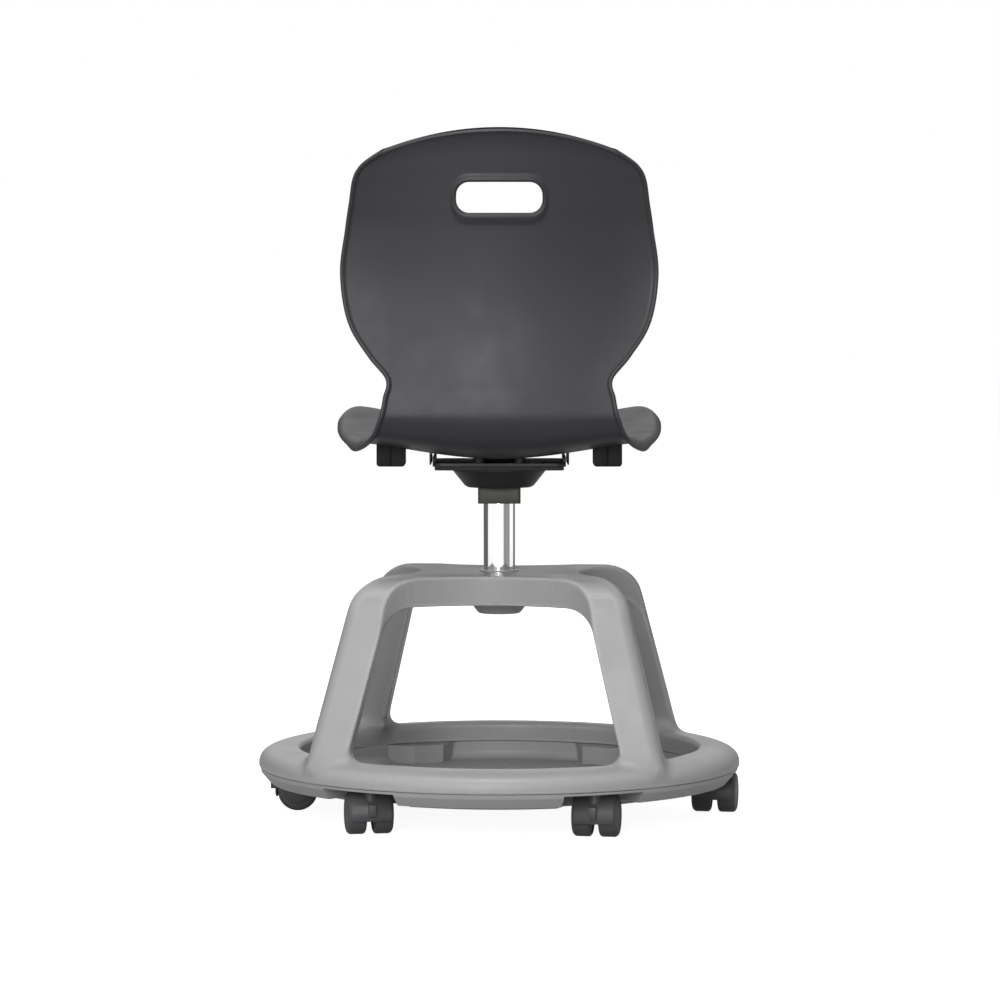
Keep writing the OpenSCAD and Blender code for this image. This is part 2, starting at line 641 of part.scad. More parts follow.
module storage_tray() color("#8f9090") rotate([0, 0, base_turn]) difference() {
    union() {
        rotate_extrude($fn = 128) tray_section();
        intersection() {
            rotate_extrude($fn = 128) tray_outside();
            for (k = [0:castor_count - 1]) rotate([0, 0, k * 360 / castor_count])
                translate([stem_r, 0, 0]) linear_extrude(part_z) polygon(pocket_outline(tray_wall));
        }
    }
    for (k = [0:castor_count - 1]) rotate([0, 0, k * 360 / castor_count]) translate([stem_r, 0, -1]) {
        linear_extrude(flange_z + 1) polygon(pocket_outline(0));
        cylinder(through, d = socket_boss_d + 2 * seat_gap, $fn = 48);
    }
    for (k = [0:castor_count - 1]) rotate([0, 0, (k + 0.5) * 360 / castor_count])
        translate([tray_screw_r, 0, 0]) cylinder(through, d = tray_screw_d + 0.5, $fn = 32);
    for (a = [0:90:270]) rotate([0, 0, a]) translate([0, drain_r, 0])
        cylinder(through, d = drain_d, $fn = 32);
}
tray_head_h = 2.5;
tray_head_d = 9;
module tray_screws() color("#8a8a8d") rotate([0, 0, base_turn])
    for (k = [0:castor_count - 1]) rotate([0, 0, (k + 0.5) * 360 / castor_count])
        translate([tray_screw_r, 0, flange_z]) {
            translate([0, 0, -tray_head_h]) cylinder(tray_head_h, d1 = tray_head_d - 2, d2 = tray_head_d, $fn = 32);
            translate([0, 0, -eps]) cylinder(tray_screw_len, d = tray_screw_d - 2 * fit, $fn = 32);
        }
module castor_sockets() color("#b0b0b2") rotate([0, 0, base_turn])
    for (k = [0:castor_count - 1]) rotate([0, 0, k * 360 / castor_count])
        translate([stem_r, 0, flange_z]) difference() {
            union() {
                cylinder(part_z - flange_z, d = socket_boss_d, $fn = 48);
                cylinder(part_z - flange_z + socket_h, d = socket_d, $fn = 48);
            }
            translate([0, 0, -1]) cylinder(60, d = stem_d + 2 * fit, $fn = 48);
        }

// Castors, each drawn with its stem on the Z axis and its wheels towards +X
web_t = wheel_gap - 1;
hood_gap = 1;
hood_t = 2;
hood_r = wheel_r + hood_gap + hood_t;
hood_w = 2 * wheel_w + web_t - 6;
tenon_low = 10;
nose_x = 19.5;
nose_h = 13;
hood_low = wheel_r - 7;
neck_top = flange_z - seat_gap;
tenon_d = 4.5;
inner_round = 4;
inner_dish = 1.5;
module at_castor(k) {
    a = (k - 1) * 360 / castor_count + base_turn;
    translate([stem_r * cos(a), stem_r * sin(a), 0]) rotate([0, 0, castor_heading[k - 1]]) children();
}
module on_axle() translate([trail, 0, wheel_r]) rotate([-90, 0, 0]) children();
module castor_housing() difference() {
    union() {
        on_axle() translate([0, 0, -web_t / 2]) cylinder(web_t, r = hood_r - 0.2, $fn = 64);
        translate([-nose_x, -web_t / 2, wheel_r]) cube([nose_x, web_t, nose_h]);
        difference() {
            union() {
                on_axle() translate([0, 0, -hood_w / 2]) cylinder(hood_w, r = hood_r, $fn = 64);
                translate([0, 0, wheel_r + tenon_low]) cylinder(neck_top - wheel_r - tenon_low, d = 16, $fn = 48);
            }
            on_axle() for (s = [-1, 1]) translate([0, 0, s > 0 ? web_t / 2 - eps : -40 - web_t / 2 + eps])
                cylinder(40, r = wheel_r + hood_gap, $fn = 64);
        }
    }
    // The hood is open in front of the wheels, and hood and web end clear of the floor
    translate([trail + wheel_r * 0.55, -hood_w, -5]) cube([2 * wheel_d, 2 * hood_w, 2 * wheel_d]);
    translate([-wheel_d, -hood_w, -5]) cube([3 * wheel_d, 2 * hood_w, hood_low + 5]);
    on_axle() translate([0, 0, -20]) cylinder(40, d = axle_d + 2 * fit, $fn = 32);
    translate([0, 0, wheel_r + tenon_low]) cylinder(60, d = tenon_d + 2 * fit, $fn = 24);
}
module castor_stem() {
    translate([0, 0, wheel_r + tenon_low])
        cylinder(neck_top - wheel_r - tenon_low + eps, d = tenon_d, $fn = 24);
    translate([0, 0, neck_top]) cylinder(socket_h + 1, d = stem_d, $fn = 48);
}
module castor_axle() on_axle() translate([0, 0, -wheel_gap / 2 - wheel_w + 4])
    cylinder(wheel_gap + 2 * wheel_w - 8, d = axle_d, $fn = 32);
// Wheel with a rounded tread, a hollow inner side and a dished outer face, axle hole blind
module castor_wheel() difference() {
    rotate_extrude($fn = 64) polygon(concat(
        [[0, 0]],
        [for (i = [0:3]) let (a = 90 * i / 3)
            [wheel_r - inner_round + inner_round * sin(a), inner_round - inner_round * cos(a)]],
        [[wheel_r, wheel_w - tread_round]],
        [for (i = [1:4]) let (a = 90 * i / 4)
            [wheel_r - tread_round + tread_round * cos(a), wheel_w - tread_round + tread_round * sin(a)]],
        [[wheel_r * 0.62, wheel_w], [wheel_r * 0.55, wheel_w - 1.5], [0, wheel_w - 1]]));
    translate([0, 0, -1]) cylinder(wheel_w - 3, d = axle_d + 2 * fit, $fn = 32);
    translate([0, 0, -1]) difference() {
        cylinder(1 + inner_dish, r = wheel_r - inner_round - 1, $fn = 64);
        cylinder(1 + inner_dish, r = axle_d / 2 + 3.5, $fn = 32);
    }
}
module castor_part(k, part) at_castor(k) {
    if (part == "housing") color("#2a2a2c") castor_housing();
    if (part == "stem") color("#9a9a9d") castor_stem();
    if (part == "axle") color("#9a9a9d") castor_axle();
    if (part == "wheel_left") color("#4c4c4f") on_axle() mirror([0, 0, 1])
        translate([0, 0, wheel_gap / 2]) castor_wheel();
    if (part == "wheel_right") color("#4c4c4f") on_axle() translate([0, 0, wheel_gap / 2]) castor_wheel();
}

seat_shell();
seat_plate();
swivel_cone();
swivel_block();
swivel_bush();
plate_screws();
plate_washers();
buffer_left();
buffer_right();
base_frame();
storage_tray();
tray_screws();
castor_sockets();
hub_sleeve();
column_tube();
column_plug();
column_bolt();
column_washer();
swivel_spindle();
thrust_washer();
clip_washer();
spindle_clip();
for (k = [1:castor_count]) for (part = castor_parts)
    castor_part(k, part);
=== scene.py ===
"""School swivel chair seen from behind: the looks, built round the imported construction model.

Every piece is in metres in the row frame. The origin is on the floor at the swivel axis, +Z is up and the
sitter faces -Y, so the photograph looks along -Y at the chair's back.
"""

import json
import logging
import math
from collections.abc import Callable, Sequence
from dataclasses import dataclass, field
from enum import Enum

import bmesh
import bpy
import numpy as np
from mathutils import Matrix, Vector


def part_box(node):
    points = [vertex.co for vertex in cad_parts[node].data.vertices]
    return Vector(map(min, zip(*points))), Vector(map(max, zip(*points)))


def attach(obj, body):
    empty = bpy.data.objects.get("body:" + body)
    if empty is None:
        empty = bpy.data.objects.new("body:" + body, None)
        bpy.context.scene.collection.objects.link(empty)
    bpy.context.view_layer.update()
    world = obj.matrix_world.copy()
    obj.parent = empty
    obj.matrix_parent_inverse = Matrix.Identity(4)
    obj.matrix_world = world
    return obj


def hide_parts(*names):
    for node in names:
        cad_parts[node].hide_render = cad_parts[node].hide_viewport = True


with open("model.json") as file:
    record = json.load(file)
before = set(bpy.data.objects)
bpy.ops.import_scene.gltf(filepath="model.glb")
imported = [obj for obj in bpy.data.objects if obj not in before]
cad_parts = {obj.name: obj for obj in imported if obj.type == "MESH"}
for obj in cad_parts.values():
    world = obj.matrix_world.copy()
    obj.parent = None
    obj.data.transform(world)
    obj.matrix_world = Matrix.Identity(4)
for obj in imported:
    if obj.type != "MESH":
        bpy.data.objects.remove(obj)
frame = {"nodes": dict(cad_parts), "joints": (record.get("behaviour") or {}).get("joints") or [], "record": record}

log = logging.getLogger("chair")
Colour = tuple[float, float, float]
Range = tuple[float, float]

MM = 0.001
CIRCLE = 2 * math.pi
WELD = 2e-6  # Points of a construction mesh that lie closer than this are one point
FLAT = 0.8  # Degrees below which two faces of a construction mesh are one face
CREASE = 32  # Degrees above which its edges are rounded


def linear(colour: Sequence[float]) -> tuple[float, float, float, float]:
    """Turns a screen colour, 0 to 255, into the linear colour and alpha that a shader takes."""
    parts = [c / 255 for c in colour]
    return (*(c / 12.92 if c <= 0.04045 else ((c + 0.055) / 1.055) ** 2.4 for c in parts), 1.0)


def paler(colour: Sequence[float], times: float, more: float = 0.0) -> list[float]:
    """Makes a linear colour paler, white at most."""
    return [min(1.0, c * times + more) for c in colour]


def ramp(x: np.ndarray, start: float, width: float) -> np.ndarray:
    """Rises from 0 at start to 1 over a width; a width below 0 makes it fall along x."""
    return np.clip((x - start) / width, 0, 1)


def halve(low: float, high: float, like: np.ndarray, beyond: Callable[[np.ndarray], np.ndarray],
          rounds: int = 40) -> tuple[np.ndarray, np.ndarray]:
    """Closes in, by halving, on the value at which a test turns true.

    Args:
        low: A value at which it is false.
        high: A value at which it is true.
        like: An array of the answer's shape.
        beyond: The test, for an array of values.
        rounds: How often the span is halved.

    Returns:
        The last values at which it is false and true.
    """
    a, b = np.full(like.shape, low), np.full(like.shape, high)
    for _ in range(rounds):
        middle = (a + b) / 2
        over = beyond(middle)
        a, b = np.where(over, a, middle), np.where(over, middle, b)
    return a, b


# Node trees


class Wiring:
    """A node tree with short calls for adding and joining nodes."""

    def __init__(self, tree: bpy.types.NodeTree) -> None:
        """Takes a tree and empties it."""
        self.tree = tree
        tree.nodes.clear()

    def add(self, kind: str, operation: str = "", **values: object) -> bpy.types.Node:
        """Adds a node.

        Args:
            kind: Blender's name for the node type.
            operation: What a mathematics node works out.
            values: Values for inputs, by input name with spaces as underscores.

        Returns:
            The node.
        """
        node = self.tree.nodes.new(kind)
        if operation:
            node.operation = operation
        for name, value in values.items():
            node.inputs[name.replace("_", " ")].default_value = value
        return node

    def join(self, a: bpy.types.Node, out: str | int, b: bpy.types.Node, into: str | int) -> None:
        """Joins an output of one node to an input of another, each by its name or number."""
        self.tree.links.new(a.outputs[out], b.inputs[into])

    def ranged(self, source: bpy.types.Node, out: str | int, span: Range, onto: Range) -> bpy.types.Node:
        """Maps a range of a node's values onto another range.

        Args:
            source: The node that gives the value.
            out: Its output.
            span: The range that is read, and outside which nothing changes.
            onto: The values at its two ends.

        Returns:
            The map range node.
        """
        node = self.add("ShaderNodeMapRange", From_Min=span[0], From_Max=span[1], To_Min=onto[0], To_Max=onto[1])
        self.join(source, out, node, "Value")
        return node

    def paired(self, operation: str, a: bpy.types.Node, a_out: str | int, b: bpy.types.Node,
               b_out: str | int) -> bpy.types.Node:
        """Works out one value from two.

        Args:
            operation: What is worked out.
            a: The node that gives the first value.
            a_out: Its output.
            b: The node that gives the second value.
            b_out: Its output.

        Returns:
            The mathematics node.
        """
        node = self.add("ShaderNodeMath", operation)
        self.join(a, a_out, node, 0)
        self.join(b, b_out, node, 1)
        return node

    def seen(self) -> bpy.types.Node:
        """Adds a value that is 1 for the rays that see the background, and 0 for those that light the object.

        Returns:
            The node whose first output is the value.
        """
        ray = self.add("ShaderNodeLightPath")
        mirrored = self.paired("MAXIMUM", ray, "Is Camera Ray", ray, "Is Glossy Ray")
        return self.paired("MAXIMUM", mirrored, 0, ray, "Is Transmission Ray")


class Paint(Wiring):
    """A new material with its output node."""

    def __init__(self, name: str) -> None:
        """Starts a material of that name."""
        self.material = bpy.data.materials.new(name)
        self.material.use_nodes = True
        super().__init__(self.material.node_tree)
        self.output = self.add("ShaderNodeOutputMaterial")


class Recipe(Paint):
    """The material of a finish: one shader, with patterns in object coordinates."""

    NOISE_ROUGH = 0.55
    NOISE_SPAN = (0.3, 0.7)  # The range that most of a noise's values lie in

    def __init__(self, name: str) -> None:
        """Starts the material with its shader."""
        super().__init__(name)
        self.shader = self.add("ShaderNodeBsdfPrincipled")
        self.join(self.shader, "BSDF", self.output, "Surface")
        self.place = self.add("ShaderNodeTexCoord")

    def noise(self, scale: float, detail: float = 2.0, stretch: Sequence[float] = (1, 1, 1)) -> bpy.types.Node:
        """Adds a noise texture.

        Args:
            scale: Cells to the metre.
            detail: Octaves.
            stretch: Scale along X, Y and Z.

        Returns:
            The noise node.
        """
        mapping = self.add("ShaderNodeMapping", Scale=stretch)
        self.join(self.place, "Object", mapping, "Vector")
        node = self.add("ShaderNodeTexNoise", Scale=scale, Detail=detail, Roughness=self.NOISE_ROUGH)
        self.join(mapping, 0, node, "Vector")
        return node

    def spread(self, noise: bpy.types.Node, low: float, high: float) -> bpy.types.Node:
        """Maps a noise's usual range onto two values."""
        return self.ranged(noise, 0, self.NOISE_SPAN, (low, high))

    def overlay(self, below: bpy.types.Node | Sequence[float], colour: Sequence[float],
                share: bpy.types.Node) -> bpy.types.Node:
        """Lays a colour over what is below it.

        Args:
            below: The mix node or the colour below it.
            colour: Linear red, green and blue.
            share: The node that says how much of it shows.

        Returns:
            The mix node.
        """
        over = self.add("ShaderNodeMix")
        over.data_type = "RGBA"
        over.inputs["B"].default_value = (*colour, 1)
        if isinstance(below, bpy.types.Node):
            self.join(below, "Result", over, "A")
        else:
            over.inputs["A"].default_value = (*below, 1)
        self.join(share, 0, over, "Factor")
        return over

    def relief(self, height: bpy.types.Node, depth: float, strength: float,
               below: bpy.types.Node | None = None) -> bpy.types.Node:
        """Adds a bump layer.

        Args:
            height: The node that gives its height.
            depth: Its depth in metres.
            strength: Its share from 0 to 1.
            below: The bump layer below it.

        Returns:
            The bump node.
        """
        node = self.add("ShaderNodeBump", Strength=strength, Distance=depth)
        self.join(height, 0, node, "Height")
        if below is not None:
            self.join(below, 0, node, "Normal")
        return node


# Finishes


class Surface(Enum):
    """How a finish catches the light."""

    MOULDED = "moulded plastic"
    POWDER = "powder coat"
    PLATED = "bright plating"
    TURNED = "turned steel"
    RUBBER = "rubber"


# Cells to the metre of the patterns that all finishes share
DRIFT_CELLS = 7.0
GLOSS_CELLS = 23.0
WAVE_CELLS = 60.0
SCUFF_CELLS = 160.0

# Gloss by how a face lies: it fades at grazing angles, and on faces that look down at the white floor
GRAZING, GRAZING_LEVEL = (0.8, 0.97), (0.3, 0.02)
DOWNWARD, DOWNWARD_SHARE = (-0.4, 0.0), (0.4, 1.0)
METAL_LEVEL = 0.5

SCUFF_PALE = (1.6, 0.02)  # How many times paler a rubbed mark is, and how much more
CORNERS = (0.502, 0.525)  # Pointiness where the painted highlight on an outer corner starts, and where it is at full strength
WAVE_DEPTH, WAVE_SHARE = 4, 0.12  # A moulding's slow waves: depth to the grain's, and share


@dataclass(frozen=True)
class Finish:
    """One real finish: its colour, its gloss and its grain.

    Attributes:
        slot: The record's material slot.
        surface: How it catches the light.
        colour: Screen colour, 0 to 255.
        rough: Roughness.
        grain: Size of the finest grain in metres.
        depth: Depth of the grain in metres.
        cloud: Share by which the colour drifts over the piece.
        round_edge: Radius of the softened edges in metres, 0 for none.
        scuff: Share of lighter rubbed marks.
        corner_highlight: Share by which outer corners are painted paler, a painted highlight on the corners.
    """

    slot: str
    surface: Surface
    colour: Colour
    rough: float = 0.5
    grain: float = 0.0009
    depth: float = 0.00006
    cloud: float = 0.04
    round_edge: float = 0.0
    scuff: float = 0.0
    corner_highlight: float = 0.0

    @property
    def metal(self) -> bool:
        """Whether it is bare metal."""
        return self.surface in (Surface.PLATED, Surface.TURNED)

    def make(self) -> bpy.types.Material:
        """Builds the material, the first time that it is asked for.

        Returns:
            The material.
        """
        name = f"finish_{self.slot}"
        if name in bpy.data.materials:
            return bpy.data.materials[name]
        recipe = Recipe(name)
        for layer in (self._tint, self._gloss, self._grain, self._level):
            layer(recipe)
        recipe.shader.inputs["Metallic"].default_value = float(self.metal)
        recipe.material.diffuse_color = linear(self.colour)
        return recipe.material

    def _tint(self, recipe: Recipe) -> None:
        """Colour with a slow drift and, where asked, rubbed marks and a painted highlight on outer corners.

        Args:
            recipe: The material being built.
        """
        base = linear(self.colour)[:3]
        drift = recipe.spread(recipe.noise(DRIFT_CELLS, 3.0), 0, 1)
        last = recipe.overlay([c * (1 - self.cloud) for c in base], paler(base, 1 + self.cloud), drift)
        if self.scuff:
            rubbed = recipe.spread(recipe.noise(SCUFF_CELLS, 5.0, (1, 1, 0.2)), 0, self.scuff)
            last = recipe.overlay(last, paler(base, *SCUFF_PALE), rubbed)
        # Painted highlight: outer corners, found by pointiness, are painted paler than the base colour
        if self.corner_highlight:
            corner = recipe.ranged(recipe.add("ShaderNodeNewGeometry"), "Pointiness", CORNERS, (0, 1))
            last = recipe.overlay(last, paler(base, 1 + self.corner_highlight), corner)
        recipe.join(last, "Result", recipe.shader, "Base Color")

    def _gloss(self, recipe: Recipe) -> None:
        """Roughness that drifts a little.

        Args:
            recipe: The material being built.
        """
        drift = 0.02 if self.surface is Surface.PLATED else 0.06
        low, high = max(0.0, self.rough - drift), min(1.0, self.rough + drift)
        recipe.join(recipe.spread(recipe.noise(GLOSS_CELLS, 4.0), low, high), 0, recipe.shader, "Roughness")

    def _grain(self, recipe: Recipe) -> None:
        """Grain in the surface, over softened edges.

        Args:
            recipe: The material being built.
        """
        below = None
        if self.round_edge:
            below = recipe.add("ShaderNodeBevel", Radius=self.round_edge)
            below.samples = 4
        stretch = (1, 1, 0.02) if self.surface is Surface.TURNED else (1, 1, 1)
        strength = {Surface.PLATED: 0.05, Surface.TURNED: 0.5}.get(self.surface, 0.6)
        last = recipe.relief(recipe.noise(1 / self.grain, 2.0, stretch), self.depth, strength, below)
        if self.surface in (Surface.MOULDED, Surface.POWDER):
            last = recipe.relief(recipe.noise(WAVE_CELLS), self.depth * WAVE_DEPTH, WAVE_SHARE, last)
        recipe.join(last, 0, recipe.shader, "Normal")

    def _level(self, recipe: Recipe) -> None:
        """How strongly the surface mirrors.

        Args:
            recipe: The material being built.
        """
        if self.metal:
            recipe.shader.inputs["Specular IOR Level"].default_value = METAL_LEVEL
            return
        rim = recipe.add("ShaderNodeLayerWeight", Blend=0.5)
        fade = recipe.ranged(rim, "Facing", GRAZING, GRAZING_LEVEL)
        parts = recipe.add("ShaderNodeSeparateXYZ")
        recipe.join(recipe.place, "Normal", parts, 0)
        under = recipe.ranged(parts, "Z", DOWNWARD, DOWNWARD_SHARE)
        recipe.join(recipe.paired("MULTIPLY", fade, 0, under, 0), 0, recipe.shader, "Specular IOR Level")


class Finishes:
    """The chair's finishes, one to a material slot."""

    shell = Finish("shell_plastic", Surface.MOULDED, (56, 56, 59), 0.48, 0.0008, 0.00005, 0.03)
    plate = Finish("plate_paint", Surface.POWDER, (42, 42, 44), 0.45, 0.0012, 0.00005, 0.04, 0.0006)
    block = Finish("block_paint", Surface.POWDER, (65, 65, 60), 0.5, 0.0012, 0.00005, 0.05, 0.0006)
    bush = Finish("bush_plastic", Surface.MOULDED, (214, 212, 204), 0.45)
    fastener = Finish("fastener_steel", Surface.TURNED, (170, 170, 172), 0.35, 0.0006, 0.00003)
    buffer = Finish("buffer_rubber", Surface.RUBBER, (16, 16, 17), 0.7, 0.0011, 0.00008, 0.06, 0.0008)
    # The base's outer corners get a painted highlight
    base = Finish("base_plastic", Surface.MOULDED, (154, 154, 154), 0.42, 0.001, 0.00005, 0.025, corner_highlight=0.3)
    tray = Finish("tray_plastic", Surface.MOULDED, (157, 157, 157), 0.46, 0.001, 0.00006, 0.03, 0.0007)
    sleeve = Finish("sleeve_plastic", Surface.MOULDED, (180, 181, 182), 0.3)
    socket = Finish("socket_steel", Surface.TURNED, (180, 180, 182), 0.3)
    chrome = Finish("column_chrome", Surface.PLATED, (250, 250, 251), 0.05, 0.002, 0.00001, 0.01)
    spindle = Finish("spindle_steel", Surface.TURNED, (172, 172, 174), 0.3)
    castor = Finish("castor_plastic", Surface.MOULDED, (73, 73, 75), 0.45, 0.0009, 0.00005, 0.05, 0.0006)
    wheel = Finish("wheel_plastic", Surface.MOULDED, (77, 77, 79), 0.5, 0.0009, 0.00005, 0.05, scuff=0.1)

    @classmethod
    def by_slot(cls) -> dict[str, Finish]:
        """All finishes by their slot."""
        return {f.slot: f for f in vars(cls).values() if isinstance(f, Finish)}


# Mesh helpers


def place_mesh(name: str, mesh: bpy.types.Mesh) -> bpy.types.Object:
    """Puts a mesh into the scene.

    Args:
        name: The object's name.
        mesh: The mesh.

    Returns:
        The object, at the origin.
    """
    obj = bpy.data.objects.new(name, mesh)
    bpy.context.scene.collection.objects.link(obj)
    return obj


def add_mesh(name: str, points: Sequence[Sequence[float]], faces: Sequence[Sequence[int]]) -> bpy.types.Object:
    """Makes an object from points and faces.

    Args:
        name: The object's name.
        points: Points in metres.
        faces: Point numbers of each face, counter-clockwise from outside.

    Returns:
        The object, at the origin.
    """
    mesh = bpy.data.meshes.new(name)
    mesh.from_pydata([tuple(map(float, p)) for p in points], [], [tuple(map(int, f)) for f in faces])
    mesh.update()
    return place_mesh(name, mesh)


def copy_node(name: str, node: str, flatten: bool = False) -> bpy.types.Object:
    """Copies a construction node as a new object, its loose triangles joined.

    Args:
        name: The object's name.
        node: The construction node.
        flatten: Whether triangles that lie in one plane become one face.

    Returns:
        The object.
    """
    form = bmesh.new()
    form.from_mesh(frame["nodes"][node].data)
    bmesh.ops.remove_doubles(form, verts=form.verts, dist=WELD)
    if flatten:
        bmesh.ops.dissolve_limit(form, angle_limit=math.radians(FLAT), verts=form.verts, edges=form.edges)
    mesh = bpy.data.meshes.new(name)
    form.to_mesh(mesh)
    form.free()
    return place_mesh(name, mesh)


def read_points(mesh: bpy.types.Mesh, kind: type = float) -> np.ndarray:
    """Reads a mesh's points.

    Args:
        mesh: The mesh.
        kind: The kind of number.

    Returns:
        One row of X, Y and Z for each point.
    """
    points = np.zeros(len(mesh.vertices) * 3, kind)
    mesh.vertices.foreach_get("co", points)
    return points.reshape(-1, 3)


def write_points(mesh: bpy.types.Mesh, points: np.ndarray) -> None:
    """Moves a mesh's points to the places in the rows."""
    mesh.vertices.foreach_set("co", points.ravel())
    mesh.update()


def smooth(obj: bpy.types.Object, angle: float) -> bpy.types.Object:
    """Shades an object smooth, with sharp edges above an angle.

    Args:
        obj: A mesh object.
        angle: Degrees.

    Returns:
        The object.
    """
    mesh = obj.data
    mesh.polygons.foreach_set("use_smooth", [True] * len(mesh.polygons))
    mesh.set_sharp_from_angle(angle=math.radians(angle))
    mesh.update()
    return obj


def apply_modifiers(obj: bpy.types.Object) -> bpy.types.Object:
    """Turns an object's modifiers into plain mesh.

    Args:
        obj: A mesh object with modifiers.

    Returns:
        The same object with its mesh replaced.
    """
    graph = bpy.context.evaluated_depsgraph_get()
    mesh = bpy.data.meshes.new_from_object(obj.evaluated_get(graph))
    old = obj.data
    obj.modifiers.clear()
    obj.data = mesh
    if old.users == 0:
        bpy.data.meshes.remove(old)
    return obj


def circle(radius: float, z: float, steps: int) -> list[tuple[float, float, float]]:
    """Points on a circle about Z."""
    return [(radius * math.cos(CIRCLE * i / steps), radius * math.sin(CIRCLE * i / steps), z) for i in range(steps)]


def lathe(profile: Sequence[tuple[float, float]], steps: int) -> tuple[list, list]:
    """Turns a profile about Z.

    Args:
        profile: Radius and height of each point, from the axis outwards and back to the axis.
        steps: Points round the circle.

    Returns:
        Points and faces of a closed solid.
    """
    points, rings, faces = [], [], []
    for radius, z in profile:
        ring = circle(radius, z, steps) if radius else [(0, 0, z)]
        rings.append(range(len(points), len(points) + len(ring)))
        points += ring
    for a, b in zip(rings, rings[1:]):
        for i in range(steps):
            j = (i + 1) % steps
            quad = [a[i % len(a)], a[j % len(a)], b[j % len(b)], b[i % len(b)]]
            face = list(dict.fromkeys(quad))
            if len(face) > 2:
                faces.append(face)
    return points, faces


def dress(obj: bpy.types.Object, finish: Finish, body: str, *nodes: str) -> None:
    """Gives a piece its finish and lets it ride on its body.

    Args:
        obj: The piece.
        finish: Its finish.
        body: The body that carries it.
        nodes: The construction nodes that it stands for.
    """
    obj.data.materials.clear()
    obj.data.materials.append(finish.make())
    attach(obj, body)
    if nodes:
        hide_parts(*nodes)
    log.info("%s: %d faces on %s", obj.name, len(obj.data.polygons), body)


def remould(name: str, node: str, width: float) -> bpy.types.Object:
    """Copies a construction node and rounds its sharp edges.

    Args:
        name: The new piece's name.
        node: The construction node.
        width: Width of the rounding in metres.

    Returns:
        The new piece.
    """
    obj = copy_node(name, node, flatten=True)
    bevel = obj.modifiers.new("rounding", "BEVEL")
    bevel.width, bevel.segments = width, 2
    bevel.limit_method = "ANGLE"
    bevel.angle_limit = math.radians(CREASE)
    bevel.use_clamp_overlap = True
    return smooth(apply_modifiers(obj), 40)


# Seat shell


